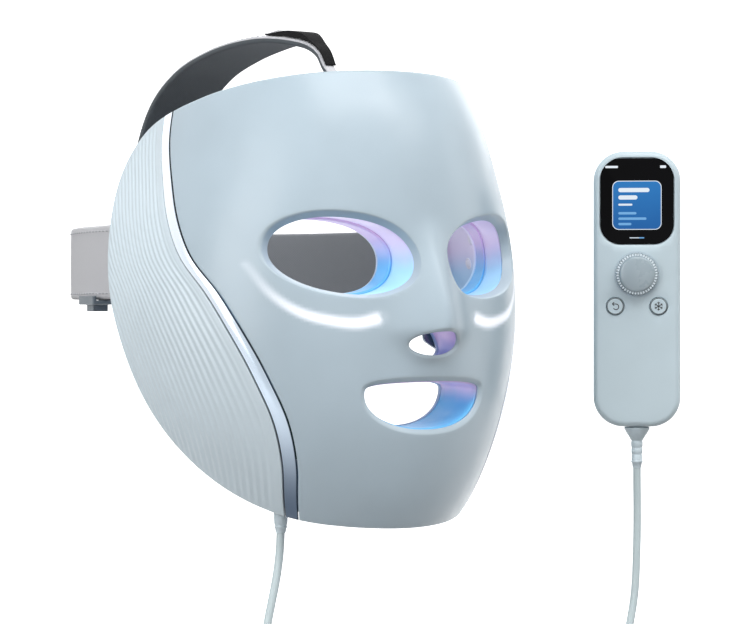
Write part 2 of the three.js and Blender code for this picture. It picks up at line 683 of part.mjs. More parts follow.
const padFront = headForm(linerInset(LINER_WALL + GAP), inside);
const padBack = headForm(linerInset(LINER_WALL + GAP + PAD_THICK), insidePast);
add('forehead_pad', 'gasket', frontSweep(roundedPoints(PAD.width, PAD.height, PAD.corner, PAD.z), -FAR, -8)
  .intersect(padFront).subtract(padBack));

// ---------------------------------------------------------------- hand control

const plane = new THREE.Group(); // across, deep and up, seen square on from the viewing side
plane.rotation.z = -VIEW_YAW;
model.add(plane);
const handset = new THREE.Group(); // local y = 0 is the front face
handset.position.set(HANDSET_AT.across, HANDSET_AT.deep, HANDSET_AT.z);
handset.rotation.z = HANDSET_AT.turn;
plane.add(handset);

const slab = (inset, fromY, toY) => frontSweep(
  roundedPoints(HANDSET.width - 2 * inset, HANDSET.height - 2 * inset, HANDSET.corner - inset, 0), fromY, toY,
);
const glassSlab = (grow, fromY, toY) => frontSweep(
  roundedPoints(GLASS.width + 2 * grow, GLASS.height + 2 * grow, GLASS.corner + grow, GLASS.z), fromY, toY,
);

let frontCover = slab(0, 0, HANDSET.split)
  .subtract(slab(HANDSET.wall, HANDSET.face, HANDSET.split + 1))
  .subtract(glassSlab(GAP, -1, GLASS.thick + GAP + 0.1))
  .subtract(block(
    [-DISPLAY.size / 2, -1, DISPLAY.z - DISPLAY.size / 2],
    [DISPLAY.size / 2, 5, DISPLAY.z + DISPLAY.size / 2],
  ))
  .subtract(rod(DIAL.shaft + 0.6, -1, 5, 0, DIAL.z));
for (const side of [-1, 1]) {
  frontCover = frontCover.subtract(rod(BUTTON.radius + GAP, -1, 5, side * BUTTON.x, BUTTON.z));
}
add('handset_front', 'shell', frontCover, handset);

const socket = { z: -48, halfHeight: 4.5, halfDeep: 1.6 };
const socketDeep = 11.4;
const screwHeights = [-46, 46];
let rearCover = slab(0, HANDSET.split + GAP, HANDSET.thick)
  .subtract(slab(HANDSET.wall, HANDSET.split, HANDSET.thick - HANDSET.wall))
  .subtract(block(
    [-HANDSET.width, socketDeep - socket.halfDeep - GAP, socket.z - socket.halfHeight - GAP],
    [0, socketDeep + socket.halfDeep + GAP, socket.z + socket.halfHeight + GAP],
  ));
for (const z of screwHeights) {
  rearCover = rearCover.subtract(rod(2.4, HANDSET.thick - HANDSET.wall - 1, HANDSET.thick + 1, 0, z, 16));
}
add('handset_back', 'shell', rearCover, handset);
screwHeights.forEach((z, i) => {
  const head = rod(2, HANDSET.thick - 1.5, HANDSET.thick - 0.3, 0, z, 16);
  const shank = rod(1, HANDSET.split + 2, HANDSET.thick - 1.4, 0, z, 12);
  const slot = block([-2.5, HANDSET.thick - 0.9, z - 0.35], [2.5, HANDSET.thick, z + 0.35]);
  add(`handset_screw_${i + 1}`, 'steel', head.add(shank).subtract(slot), handset);
});

add('screen_glass', 'glass', glassSlab(0, 0.1, GLASS.thick), handset);
add('display_module', 'display', block(
  [-DISPLAY.size / 2 - 1, HANDSET.face + GAP, DISPLAY.z - DISPLAY.size / 2 - 1],
  [DISPLAY.size / 2 + 1, HANDSET.face + 2.4, DISPLAY.z + DISPLAY.size / 2 + 1],
), handset);

add('handset_board', 'board', block(...HANDSET_BOARD), handset);
add('battery_cell', 'battery', block(...BATTERY), handset);
add('encoder_body', 'dark', block([-6.5, 3.5, DIAL.z - 6.5], [6.5, 6.8, DIAL.z + 6.5])
  .subtract(rod(DIAL.shaft + 0.3, 3, 5.6, 0, DIAL.z)), handset);
add('dial_shaft', 'steel', rod(DIAL.shaft, -4.6, 4.4, 0, DIAL.z), handset);

add('dial_knob', 'shell', rod(DIAL.radius, -3.6, -1.1, 0, DIAL.z, 36)
  .add(rod(DIAL.radius - 1.9, -DIAL.proud, -2, 0, DIAL.z, 36))
  .subtract(rod(DIAL.shaft + 0.2, -5.2, 0, 0, DIAL.z)), handset);

for (const [name, side] of [['back_button', -1], ['cool_button', 1]]) {
  const cap = rod(BUTTON.radius, -0.7, HANDSET.face + 0.6, side * BUTTON.x, BUTTON.z);
  const flange = rod(BUTTON.radius + 0.9, HANDSET.face + GAP, HANDSET.face + 1.3, side * BUTTON.x, BUTTON.z);
  add(name, 'shell', cap.add(flange), handset);
}

const socketShell = block(
  [-HANDSET.width / 2 + 0.3, socketDeep - socket.halfDeep, socket.z - socket.halfHeight],
  [-HANDSET.width / 2 + 7, socketDeep + socket.halfDeep, socket.z + socket.halfHeight],
).subtract(block(
  [-HANDSET.width, socketDeep - socket.halfDeep + 0.4, socket.z - socket.halfHeight + 0.4],
  [-HANDSET.width / 2 + 6, socketDeep + socket.halfDeep - 0.4, socket.z + socket.halfHeight - 0.4],
));
add('charge_socket', 'steel', socketShell, handset);

// ---------------------------------------------------------------- strain reliefs and cord

function turned(profile, segments = 20) {
  const geometry = new THREE.LatheGeometry(profile.map(([r, z]) => new THREE.Vector2(r, z)), segments);
  geometry.rotateX(Math.PI / 2);
  return geometry;
}

const handsetFoot = -HANDSET.height / 2 - GAP;
const handsetGland = turned([
  [0, handsetFoot], [6.5, handsetFoot], [4.2, handsetFoot - 5], [3, handsetFoot - 5.4],
  [3, handsetFoot - 14], [2.2, handsetFoot - 20.5], [0, handsetFoot - 20.5],
].reverse());
handsetGland.translate(0, HANDSET.thick / 2, 0);
add('handset_gland', 'shell', toSolid(handsetGland), handset);

const maskGland = turned([
  [0, GLAND_AT.top], [3.6, GLAND_AT.top], [3.3, GLAND_AT.bottom + 2], [3, GLAND_AT.bottom],
  [2.3, GLAND_AT.bottom - 3.5], [0, GLAND_AT.bottom - 3.5],
].reverse());
maskGland.translate(GLAND_AT.across, GLAND_AT.deep, 0);
add('mask_gland', 'shell', toSolid(maskGland), plane);

function tube(route, sides, steps) {
  const curve = new THREE.CatmullRomCurve3(route.map((p) => new THREE.Vector3(...p)));
  const section = new THREE.Shape();
  for (let k = 0; k < sides; k += 1) {
    const a = (2 * Math.PI * k) / sides;
    const x = CORD_RADIUS * Math.cos(a);
    const y = CORD_RADIUS * Math.sin(a);
    if (k === 0) section.moveTo(x, y);
    else section.lineTo(x, y);
  }
  return new THREE.ExtrudeGeometry(section, { extrudePath: curve, steps, bevelEnabled: false });
}

add('cord_mask_lead', 'cord', toSolid(tube(MASK_LEAD, 8, 6)), plane);
add('cord_handset_lead', 'cord', toSolid(tube(HANDSET_LEAD, 8, 30)), plane);

const coilProfile = [
  [COIL.inner, -COIL.half], [COIL.outer, -COIL.half], [COIL.outer, COIL.half], [COIL.inner, COIL.half],
  [COIL.inner, -COIL.half],
].map(([r, y]) => new THREE.Vector2(r, y));
const coil = new THREE.LatheGeometry(coilProfile, 32);
coil.translate(COIL.across, COIL.deep, COIL.z);
add('cord_coil', 'cord', toSolid(coil), plane);

const tieMiddle = COIL.across + (COIL.inner + COIL.outer) / 2;
const tieHalf = (COIL.outer - COIL.inner) / 2;
const tie = block(
  [tieMiddle - tieHalf - 2, COIL.deep - COIL.half - 1.6, COIL.z - 4],
  [tieMiddle + tieHalf + 1.8, COIL.deep + COIL.half + 1.6, COIL.z + 4],
).subtract(block(
  [tieMiddle - tieHalf - 0.9, COIL.deep - COIL.half - 0.4, COIL.z - 5],
  [tieMiddle + tieHalf + 0.6, COIL.deep + COIL.half + 0.4, COIL.z + 5],
));
add('cord_tie', 'tab', tie, plane);

export default model;
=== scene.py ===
"""Looks of the light-therapy face mask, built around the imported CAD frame.

Sizes are millimetres in the frame of the model and become metres as each mesh is made.
"""

import math
from functools import partial

import bmesh
import bpy
import numpy as np
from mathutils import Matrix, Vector, geometry


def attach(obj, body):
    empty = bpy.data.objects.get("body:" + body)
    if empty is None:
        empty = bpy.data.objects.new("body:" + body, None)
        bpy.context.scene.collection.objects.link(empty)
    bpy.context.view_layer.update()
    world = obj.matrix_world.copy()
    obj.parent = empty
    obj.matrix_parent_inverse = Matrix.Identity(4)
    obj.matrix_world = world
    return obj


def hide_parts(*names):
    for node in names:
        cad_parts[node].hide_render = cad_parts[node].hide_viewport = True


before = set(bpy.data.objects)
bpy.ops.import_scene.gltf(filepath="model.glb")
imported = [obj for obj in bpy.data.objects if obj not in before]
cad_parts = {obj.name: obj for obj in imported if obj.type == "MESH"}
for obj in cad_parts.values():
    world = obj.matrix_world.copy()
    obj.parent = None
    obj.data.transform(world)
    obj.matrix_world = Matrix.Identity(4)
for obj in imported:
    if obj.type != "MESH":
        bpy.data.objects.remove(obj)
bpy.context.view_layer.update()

MM = 0.001
GAP = 0.35  # the clearance between neighbouring parts
WALL, LINER_WALL, SLEEVE_WALL = 2.5, 2.0, 1.6
QUARTER = math.pi / 2
VIEW_YAW = math.radians(34.0)  # how far the camera stands round from straight in front

# ------------------------------------------------------------------ driving shapes of the mask

SKIN = np.array([  # height, half width, reach to the front
    [-140, 50, 76], [-126, 64, 87], [-105, 77.5, 96.5], [-75, 90.5, 103.5], [-42, 98.5, 105.5],
    [-15, 100.5, 104.8], [15, 96, 103.6], [45, 87, 99.5], [72, 78.5, 91.5], [100, 68, 76],
], float)
SKIN_SLOPE = np.array([
    (SKIN[min(i + 1, len(SKIN) - 1), 1:] - SKIN[max(i - 1, 0), 1:])
    / (SKIN[min(i + 1, len(SKIN) - 1), 0] - SKIN[max(i - 1, 0), 0])
    for i in range(len(SKIN))
])
# Loops and lines of the mask are [y, z] seen from its side or [x, z] seen from its front.
NOSE = {"height": 13, "half": 15, "top": 22, "tip": -32, "base": -50, "ridge": 0.1, "ridge_half": 5.5}
OUTLINE = [
    [-92, 89.8], [-64, 86.5], [-19, 77], [22, 63.5], [36, 44], [33.5, 16], [21, -26], [3, -68],
    [-26, -102], [-58, -121], [-92, -128],
]
TRIM_LINE = [
    [8, 84], [0, 58], [-14.4, 33], [-34, 3], [-52, -17], [-63, -37], [-70, -57], [-73.4, -76],
    [-71, -96], [-62, -119], [-56, -130],
]
TRIM_TOP, TRIM_BOTTOM = 7.5, 5.2
EYE = {"x": 38, "z": 1, "half": 29.7, "tall": 17.5, "tilt": math.radians(8), "power": 2.2}
LIP_DEEP = 5.0
MOUTH = {"z": -63, "half": 31.5, "rise": 5, "drop": 16}
NOSTRIL = {"z": -39.5, "half": 13, "tall": 5.2}
POCKET = [[0, -11], [7, -16], [17, -28], [26, -38], [28, -44], [20, -48.5], [0, -49.5]]
POCKET_CENTRE = -34
GUIDE_LINE = [[26, -27.5], [37, -30], [49, -28.7], [60, -25], [69.5, -17], [77.5, -3]]
PLATE_LINE, PLATE_HALF = [[22, -30], [36, -36], [52, -37.5], [66, -32], [74, -22]], 8.5
CROWN_LINE = [  # y, z, width
    [153.3, 19.3, 38], [152.2, 42, 38], [145.5, 67.5, 37], [131, 87.5, 36], [107, 101.5, 35], [78, 109, 34],
    [50, 112.5, 31], [27, 113, 24], [6, 110, 13], [-4, 107, 9], [-11, 102.5, 7], [-16, 95.5, 6],
    [-28, 88, 6], [-58, 84, 8],
]
BAND = {"half": 86, "reach": 134, "start": 22, "power": 3, "thick": 5, "tall": 18.5}
HANDSET = {"width": 43.5, "height": 138, "corner": 15, "thick": 17, "split": 8.5, "wall": 1.8, "face": 3}
HANDSET_AT = {"across": 163, "z": -13.5, "turn": math.radians(-6)}
GLASS = {"width": 36.5, "height": 43, "corner": 10, "z": 43.9}
DISPLAY = {"size": 25.4, "z": 41.5}
DIAL = {"z": 7.4, "radius": 10.8, "proud": 6.3, "grips": 44}
BUTTON = {"x": 10.8, "z": -8.6, "radius": 4.25}
GLAND_AT = {"across": -12.5, "deep": -67.4, "top": -112.5, "bottom": -126}
COIL = {"across": 0.5, "deep": -71, "z": -212, "inner": 20.0, "outer": 24.0, "turns": 6.25, "pitch": 4}
MASK_LEAD = [  # across, deep, up in the plane that faces the camera
    [-12.6, -67.4, -130.3], [-13, -68.3, -139], [-14.5, -72, -151], [-16.8, -76, -163],
    [-18.8, -78.4, -174], [-19.5, -79, -184],
]
HANDSET_LEAD = [  # the same
    [16, -75, -236.6], [24, -74.4, -238], [45, -70, -245.5], [75, -60, -253], [105, -44, -251],
    [132, -25, -235], [151, -7, -207], [161.5, 5, -173], [163.9, 8.5, -140], [163.9, 8.5, -104.2],
]
CORD_RADIUS = 2.0


# ------------------------------------------------------------------ curves and surfaces

def unit(vectors):
    """One vector, or each row of vectors, at length 1."""
    return vectors / np.maximum(np.linalg.norm(vectors, axis=-1, keepdims=True), 1e-9)


def run_along(line):
    """The distance along a line to each of its points."""
    return np.concatenate([[0], np.cumsum(np.linalg.norm(np.diff(line, axis=0), axis=1))])


def full_turn(count):
    return np.arange(count) * 2 * math.pi / count


def signed_power(values, power):
    return np.sign(values) * np.abs(values) ** power


def mirrored(half):
    """A half outline, from top to bottom, joined to its mirror image."""
    return np.vstack([half, (half * [-1, 1])[::-1][1:-1]])


def smooth(low, high, v):
    u = np.clip((v - low) / (high - low), 0, 1)
    return u * u * (3 - 2 * u)


def station(z, column):
    at = np.clip(z, SKIN[0, 0], SKIN[-1, 0])
    i = np.clip(np.searchsorted(SKIN[:, 0], at, side="left") - 1, 0, len(SKIN) - 2)
    span = SKIN[i + 1, 0] - SKIN[i, 0]
    u = (at - SKIN[i, 0]) / span
    rise = SKIN[i + 1, column] - SKIN[i, column]
    first = SKIN_SLOPE[i, column - 1] * span - rise
    last = SKIN_SLOPE[i + 1, column - 1] * span - rise
    return SKIN[i, column] + rise * u + u * (1 - u) * ((1 - u) * first - u * last)


def nose_shape(x, z):
    above = 1 - smooth(NOSE["tip"], NOSE["top"], z)
    ramp = np.where(z > NOSE["tip"], above, smooth(NOSE["base"], NOSE["tip"], z))
    body = ramp * np.exp(-((x / (NOSE["half"] * (0.54 + 0.42 * ramp))) ** 2))
    return body + NOSE["ridge"] * ramp * np.exp(-((x / NOSE["ridge_half"]) ** 2))


def lift(p, side, front, nose):
    """A point on the head form. p is (wrap in hundredths of a radian, height)."""
    wrap, z = p[:, 0] / 100, p[:, 1]
    turn = np.minimum(np.abs(wrap), QUARTER)
    x = np.sign(wrap) * (station(z, 1) - side) * np.sin(turn)
    y = (np.abs(wrap) - turn) * 100 - (station(z, 2) - front) * np.cos(turn) - nose * nose_shape(x, z)
    return np.stack([x, y, z], 1)


def fullness(p):
    """Where the liner stands well off the shell: 1 over the face, 0 towards the rims."""
    z = p[:, 1]
    up = smooth(-124, -84, z) * (1 - smooth(46, 84, z))
    return up * (1 - smooth(math.radians(40), math.radians(88), np.abs(p[:, 0]) / 100))


def skin(p, depth=0.0):
    """The mask's outer face, or a layer that lies a depth inside it."""
    return lift(p, depth, depth, NOSE["height"])


def liner(p, depth=0.0):
    full = fullness(p)
    return lift(p, LIP_DEEP + 9 * full + depth, LIP_DEEP + 27 * full + depth, 0)


def middle(p, depth=0.0):
    """The layer where the eye sleeves meet their gaskets."""
    full = fullness(p)
    return lift(p, LIP_DEEP + 6 * full + depth, LIP_DEEP + 16 * full + depth, 0)


def from_front(xz, layer, depth=0.0):
    """The (wrap, height) of points seen from the front, on a layer."""
    xz = np.asarray(xz, float)
    s = 100 * np.arcsin(np.clip(xz[:, 0] / station(xz[:, 1], 1), -0.97, 0.97))
    step = 0.05
    for _ in range(9):
        here = layer(np.stack([s, xz[:, 1]], 1), depth)[:, 0]
        ahead = layer(np.stack([s + step, xz[:, 1]], 1), depth)[:, 0]
        s = s + np.clip((xz[:, 0] - here) * step / np.maximum(ahead - here, 1e-4), -15, 15)
    return np.stack([s, xz[:, 1]], 1)


def from_side(yz, side):
    """The (wrap, height) of points seen from one side."""
    y, z = yz[:, 0], yz[:, 1]
    reach = station(z, 2)
    turn = np.where(y < 0, np.arccos(np.clip(-y / reach, 0, 1)), QUARTER + y / 100)
    return np.stack([side * 100 * turn, z], 1)


def catmull(points, per=40):
    """A smooth curve through the points: a centripetal Catmull-Rom spline."""
    p = np.array(points, float)
    ext = np.vstack([2 * p[0] - p[1], p, 2 * p[-1] - p[-2]])
    out = []
    u = np.linspace(0, 1, per, endpoint=False)[:, None]
    for i in range(len(p) - 1):
        a, b, c, d = ext[i:i + 4]
        t0, t1, t2 = (max(np.linalg.norm(q - r), 1e-6) ** 0.5 for q, r in ((b, a), (c, b), (d, c)))
        m1 = ((b - a) / t0 - (c - a) / (t0 + t1) + (c - b) / t1) * t1
        m2 = ((c - b) / t1 - (d - b) / (t1 + t2) + (d - c) / t2) * t1
        out.append(b + m1 * u + (3 * c - 3 * b - 2 * m1 - m2) * u**2 + (2 * b - 2 * c + m1 + m2) * u**3)
    return np.vstack(out + [p[-1:]])


def even(line, step=None, count=None, closed=False):
    """The line with points at even spacing."""
    line = np.asarray(line, float)
    if closed:
        line = np.vstack([line, line[:1]])
    run = run_along(line)
    count = count or max(2, int(round(run[-1] / step)))
    at = np.linspace(0, run[-1], count + 1)
    if closed:
        at = at[:-1]
    return np.stack([np.interp(at, run, line[:, k]) for k in range(line.shape[1])], 1)


def even_cornered(loop, step):
    """A closed loop resampled at even spacing, with its corners kept."""
    before, after = np.roll(loop, 1, 0) - loop, np.roll(loop, -1, 0) - loop
    product = np.linalg.norm(before, axis=1) * np.linalg.norm(after, axis=1)
    cos = -(before * after).sum(1) / (product + 1e-12)
    corners = np.where(cos < math.cos(math.radians(35)))[0]
    if len(corners) == 0:
        return even(loop, step, closed=True)
    rolled = np.roll(loop, -corners[0], 0)
    marks = list(corners - corners[0]) + [len(loop)]
    rolled = np.vstack([rolled, rolled[:1]])
    return np.vstack([even(rolled[a:b + 1], step)[:-1] for a, b in zip(marks[:-1], marks[1:])])


def counter_clockwise(loop):
    x, y = loop[:, 0], loop[:, 1]
    area = (x * np.roll(y, -1) - np.roll(x, -1) * y).sum()
    return loop if area > 0 else loop[::-1]


def offset(loop, distance):
    """A counter-clockwise loop moved outwards by a distance."""
    both = unit(np.roll(loop, -1, 0) - loop) + unit(loop - np.roll(loop, 1, 0))
    n = np.stack([both[:, 1], -both[:, 0]], 1)
    size = np.maximum(np.linalg.norm(n, axis=1), 0.9)[:, None]
    return loop + distance * 2 * n / size**2


def oval(cx, cz, half, tall, tilt=0.0, power=2.0, count=160):
    a = full_turn(count)
    u = half * signed_power(np.cos(a), 2 / power)
    v = tall * signed_power(np.sin(a), 2 / power)
    c, s = math.cos(tilt), math.sin(tilt)
    return even(np.stack([cx + u * c - v * s, cz + u * s + v * c], 1), count=count, closed=True)


def eye_loop(side, grow=0.0, out=0.0, up=0.0, wide=0.0, tall=0.0):
    loop = oval(
        EYE["x"] + out, EYE["z"] + up, EYE["half"] + grow + wide, EYE["tall"] + grow + tall,
        EYE["tilt"], EYE["power"],
    )
    return (loop * [-1, 1])[::-1] if side < 0 else loop


def mouth_loop(grow=0.0):
    a = full_turn(2000)
    up = np.sin(a) > 0
    reach = np.where(up, MOUTH["rise"], MOUTH["drop"]) + grow
    raw = np.stack([
        (MOUTH["half"] + grow) * signed_power(np.cos(a), 0.9),
        MOUTH["z"] + reach * signed_power(np.sin(a), np.where(up, 0.5, 1.0)),
    ], 1)
    return even(raw, count=150, closed=True)


def nostril_loop(grow=0.0):
    return oval(0, NOSTRIL["z"], NOSTRIL["half"] + grow, NOSTRIL["tall"] + grow, count=90)


def pocket_loop(grow=0.0):
    """The outline of the hollow behind the nose."""
    raw = mirrored(catmull(POCKET))
    raw = raw + grow * unit(raw - [0, POCKET_CENTRE])
    return counter_clockwise(even(raw, count=140, closed=True))


CORNERS = ((1, 1, 0), (-1, 1, 90), (-1, -1, 180), (1, -1, 270))  # signs of x and z, first angle


def rounded(width, height, corner, cz=0.0, cx=0.0, step=1.0):
    pts = []
    for sx, sz, start in CORNERS:
        for k in range(13):
            a = math.radians(start + 7.5 * k)
            pts.append([
                cx + sx * (width / 2 - corner) + corner * math.cos(a),
                cz + sz * (height / 2 - corner) + corner * math.sin(a),
            ])
    return even(np.array(pts), step, closed=True)


def circle(radius, cx=0.0, cz=0.0, count=48):
    a = full_turn(count)
    return np.stack([cx + radius * np.cos(a), cz + radius * np.sin(a)], 1)


def bent_bar(line, half, side, step=1.2):
    """A bar round a bent line, narrowed towards its end, with soft corners."""
    centre = even(catmull(line), step)
    along = unit(np.gradient(centre, axis=0))
    wide = half * (1 - 0.45 * smooth(0.6, 1, np.linspace(0, 1, len(centre))))
    across = np.stack([-along[:, 1], along[:, 0]], 1) * wide[:, None]
    loop = counter_clockwise(np.vstack([centre - across, (centre + across)[::-1]]) * [side, 1])
    for _ in range(5):
        loop = (np.roll(loop, 1, 0) + 2 * loop + np.roll(loop, -1, 0)) / 4
    return even(loop, step, closed=True)


# ------------------------------------------------------------------ meshes

NO_POINTS = np.zeros((0, 2))


def inside(points, loop):
    """Which points lie inside a loop."""
    x, y = points[:, 0][:, None], points[:, 1][:, None]
    ax, ay = loop[:, 0][None], loop[:, 1][None]
    bx, by = np.roll(ax, -1, 1), np.roll(ay, -1, 1)
    cross = ((ay > y) != (by > y)) & (x < (bx - ax) * (y - ay) / (by - ay + 1e-12) + ax)
    return cross.sum(1) % 2 == 1


def nearest(points, loop):
    """How far each point is from the nearest point of a loop."""
    found = np.full(len(points), 1e9)
    for k in range(0, len(loop), 200):
        d = np.sqrt(((points[:, None] - loop[None, k:k + 200]) ** 2).sum(2))
        found = np.minimum(found, d.min(1))
    return found


def cut_up(loops, extra, limit):
    """Blender's constrained triangulation of loops and loose points, with the places of each loop's points."""
    points = np.vstack(loops + [extra])
    ends = np.cumsum([0] + [len(loop) for loop in loops])
    places = [list(range(a, b)) for a, b in zip(ends[:-1], ends[1:])]
    found = geometry.delaunay_2d_cdt([Vector(p) for p in points], [], places, 0, limit, True)
    return np.array([[v.x, v.y] for v in found[0]]), found[2], found[3], found[5], places


def triangulate(outer, holes=(), grid=NO_POINTS, margin=0.1, scale=(1, 1)):
    """Triangles over a flat region: its points, the triangles, and where each loop's points are."""
    scale = np.array(scale, float)
    loops = [loop * scale for loop in (outer, *holes)]
    grid = grid * scale
    grid = grid[inside(grid, loops[0])]
    for h in loops[1:]:
        grid = grid[~inside(grid, h)]
    for loop in loops:
        grid = grid[nearest(grid, loop) > margin]
    verts, tris, origin, regions, places = cut_up(loops, grid, 1e-6)
    kept = [t for t, ids in zip(tris, regions) if 0 in ids and max(ids) == 0]
    where = {old: new for new, olds in enumerate(origin) for old in olds}
    return verts / scale, kept, [np.array([where[i] for i in place]) for place in places]


def lattice(loop, step, rise=None):
    """Staggered rows of points that cover a loop."""
    rise = rise or step
    low, high = loop.min(0), loop.max(0)
    rows = np.arange(math.floor(low[1] / rise), math.ceil(high[1] / rise) + 1)
    cols = np.arange(math.floor(low[0] / step), math.ceil(high[0] / step) + 1)
    u, v = np.meshgrid(cols * step, rows * rise)
    u = u + (np.arange(len(rows)) % 2)[:, None] * step / 2
    return np.stack([u.ravel(), v.ravel()], 1)


class Build:
    """Collects points and faces in millimetres, then makes one mesh object."""

    def __init__(self, place=None):
        self.rows, self.face_list, self.marks, self.count = [], [], [], 0
        self.place = place
        self.uv = {}

    def points(self, xyz):
        xyz = np.asarray(xyz, float)
        start = self.count
        self.rows.append(xyz)
        self.count += len(xyz)
        return np.arange(start, self.count)

    def faces(self, found, mark=0):
        self.face_list.extend(tuple(int(i) for i in f) for f in found)
        self.marks.extend([mark] * len(found))

    def rings(self, rings, mark=0):
        """Walls between rings with the same number of points."""
        for a, b in zip(rings[:-1], rings[1:]):
            n = len(a)
            self.faces([(a[i], a[(i + 1) % n], b[(i + 1) % n], b[i]) for i in range(n)], mark)

    def cap(self, ring, flip=False):
        centre = self.points(np.vstack(self.rows)[ring].mean(0)[None])[0]
        pairs = zip(ring, np.roll(ring, -1))
        self.faces([(centre, b, a) if flip else (centre, a, b) for a, b in pairs])

    def tube(self, rings):
        self.rings(rings)
        self.cap(rings[0], flip=True)
        self.cap(rings[-1])

    def fill(self, ring, loop, mark=0, flip=False):
        """A flat face across a ring whose flat outline is given."""
        _, tris, marks = triangulate(loop)
        back = {int(m): j for j, m in enumerate(marks[0])}
        self.faces([[ring[back[v]] for v in (t[::-1] if flip else t)] for t in tris], mark)

    def finish(self, name, looks, node=None, body="mask", angle=50, attributes=None):
        xyz = np.vstack(self.rows)
        if self.place:
            xyz = self.place(xyz)
        mesh = bpy.data.meshes.new(name)
        mesh.from_pydata((xyz * MM).tolist(), [], self.face_list)
        for key in [looks] if isinstance(looks, str) else looks:
            mesh.materials.append(M[key])
        mesh.polygons.foreach_set("material_index", self.marks)
        if self.uv:
            coords = np.zeros((self.count, 2))
            for start, values in self.uv.items():
                coords[start:start + len(values)] = values
            index = np.zeros(len(mesh.loops), np.int64)
            mesh.loops.foreach_get("vertex_index", index)
            layer = mesh.uv_layers.new(name="UVMap")
            layer.data.foreach_set("uv", coords[index].astype(np.float32).ravel())
        for key, values in (attributes or {}).items():
            mesh.attributes.new(key, "FLOAT", "POINT").data.foreach_set("value", values.astype(np.float32))
        bm = bmesh.new()
        bm.from_mesh(mesh)
        bmesh.ops.recalc_face_normals(bm, faces=bm.faces)
        bm.to_mesh(mesh)
        bm.free()
        mesh.shade_smooth()
        mesh.set_sharp_from_angle(angle=math.radians(angle))
        obj = add_object(name, mesh)
        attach(obj, body)
        if node:
            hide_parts(node)
        return obj


def rim_rings(loop, layer, thick, radius, steps=4):
    """A shell's edge: its outer face's loop, its inner face's loop, and the rounded rings between them."""
    rings = []
    for k in range(1, steps + 1):
        a = QUARTER * k / steps
        rings.append(layer(offset(loop, -radius + radius * math.sin(a)), radius - radius * math.cos(a)))
    for k in range(steps):
        a = QUARTER * k / steps
        edge = offset(loop, -radius + radius * math.cos(a))
        rings.append(layer(edge, thick - radius + radius * math.sin(a)))
    return offset(loop, -radius), offset(loop, -radius), rings


def combine(*loops):
    """The outline of the region that all these loops share."""
    verts, tris, _, regions, _ = cut_up(list(loops), NO_POINTS, 1e-5)
    ahead = {}
    for tri, ids in zip(tris, regions):
        if len(set(ids)) == len(loops):
            for a, b in zip(tri, list(tri[1:]) + [tri[0]]):
                ahead[(a, b)] = True
    edges = {a: b for a, b in ahead if (b, a) not in ahead}
    outlines = []
    while edges:
        at, outline = next(iter(edges)), []
        while at in edges:
            outline.append(at)
            at = edges.pop(at)
        outlines.append(outline)
    return counter_clockwise(verts[max(outlines, key=len)])


# ------------------------------------------------------------------ materials

class Nodes:
    """A short way to write a material's node tree."""

    def __init__(self, name):
        self.material = bpy.data.materials.new(name)
        self.material.use_nodes = True
        self.tree = self.material.node_tree
        self.shader = self.tree.nodes["Principled BSDF"]
        self.where = self.tree.nodes.new("ShaderNodeTexCoord").outputs["Object"]

    def link(self, value, socket):
        if isinstance(value, bpy.types.NodeSocket):
            self.tree.links.new(value, socket)
        elif isinstance(value, (tuple, list)):
            socket.default_value = tuple(value) + (1.0,) * (len(socket.default_value) - len(value))
        else:
            socket.default_value = value

    def node(self, kind, **inputs):
        """A node with these inputs; an underscore in an input's name stands for a space."""
        node = self.tree.nodes.new(f"ShaderNode{kind}")
        for key, value in inputs.items():
            self.link(value, node.inputs[key.replace("_", " ")])
        return node

    def put(self, **inputs):
        """Sets inputs of the surface shader, such as Base_Color."""
        for key, value in inputs.items():
            self.link(value, self.shader.inputs[key.replace("_", " ")])

    def math(self, kind, a, b=0.0):
        node = self.node("Math")
        node.operation = kind
        self.link(a, node.inputs[0])
        self.link(b, node.inputs[1])
        return node.outputs[0]

    def noise(self, size_mm, detail=3.0, stretch=None):
        at = self.where
        if stretch:
            at = self.node("Mapping", Scale=stretch, Vector=at).outputs[0]
        return self.node("TexNoise", Vector=at, Scale=1000.0 / size_mm, Detail=detail).outputs["Fac"]

    def ramp(self, value, low, high, out_low=0.0, out_high=1.0, soft=False):
        node = self.node("MapRange", Value=value, From_Min=low, From_Max=high, To_Min=out_low, To_Max=out_high)
        node.interpolation_type = "SMOOTHSTEP" if soft else "LINEAR"
        return node.outputs[0]

    def mix(self, factor, a, b):
        node = self.tree.nodes.new("ShaderNodeMix")
        node.data_type = "RGBA"
        for key, value in (("Factor", factor), ("A", a), ("B", b)):
            self.link(value, node.inputs[key])
        return node.outputs["Result"]

    def mottled(self, value, a, b, low=0.35, high=0.65):
        """Two colours, or two amounts, spread by a slow noise."""
        return self.mix(self.ramp(value, low, high), a, b)

    def height(self):
        return self.split(self.where)[2]

    def split(self, value):
        return self.node("SeparateXYZ", Vector=value).outputs

    def attribute(self, name):
        node = self.node("Attribute")
        node.attribute_name = name
        return node.outputs["Fac"]

    def bump(self, height, distance_mm):
        self.put(Normal=self.node("Bump", Strength=1.0, Distance=distance_mm * MM, Height=height).outputs[0])


def linear(*rgb, by=1.0):
    """A colour given as 0 to 255 per channel, as linear light."""
    return tuple(by * (((c / 255 + 0.055) / 1.055) ** 2.4 if c > 10 else c / 255 / 12.92) for c in rgb)


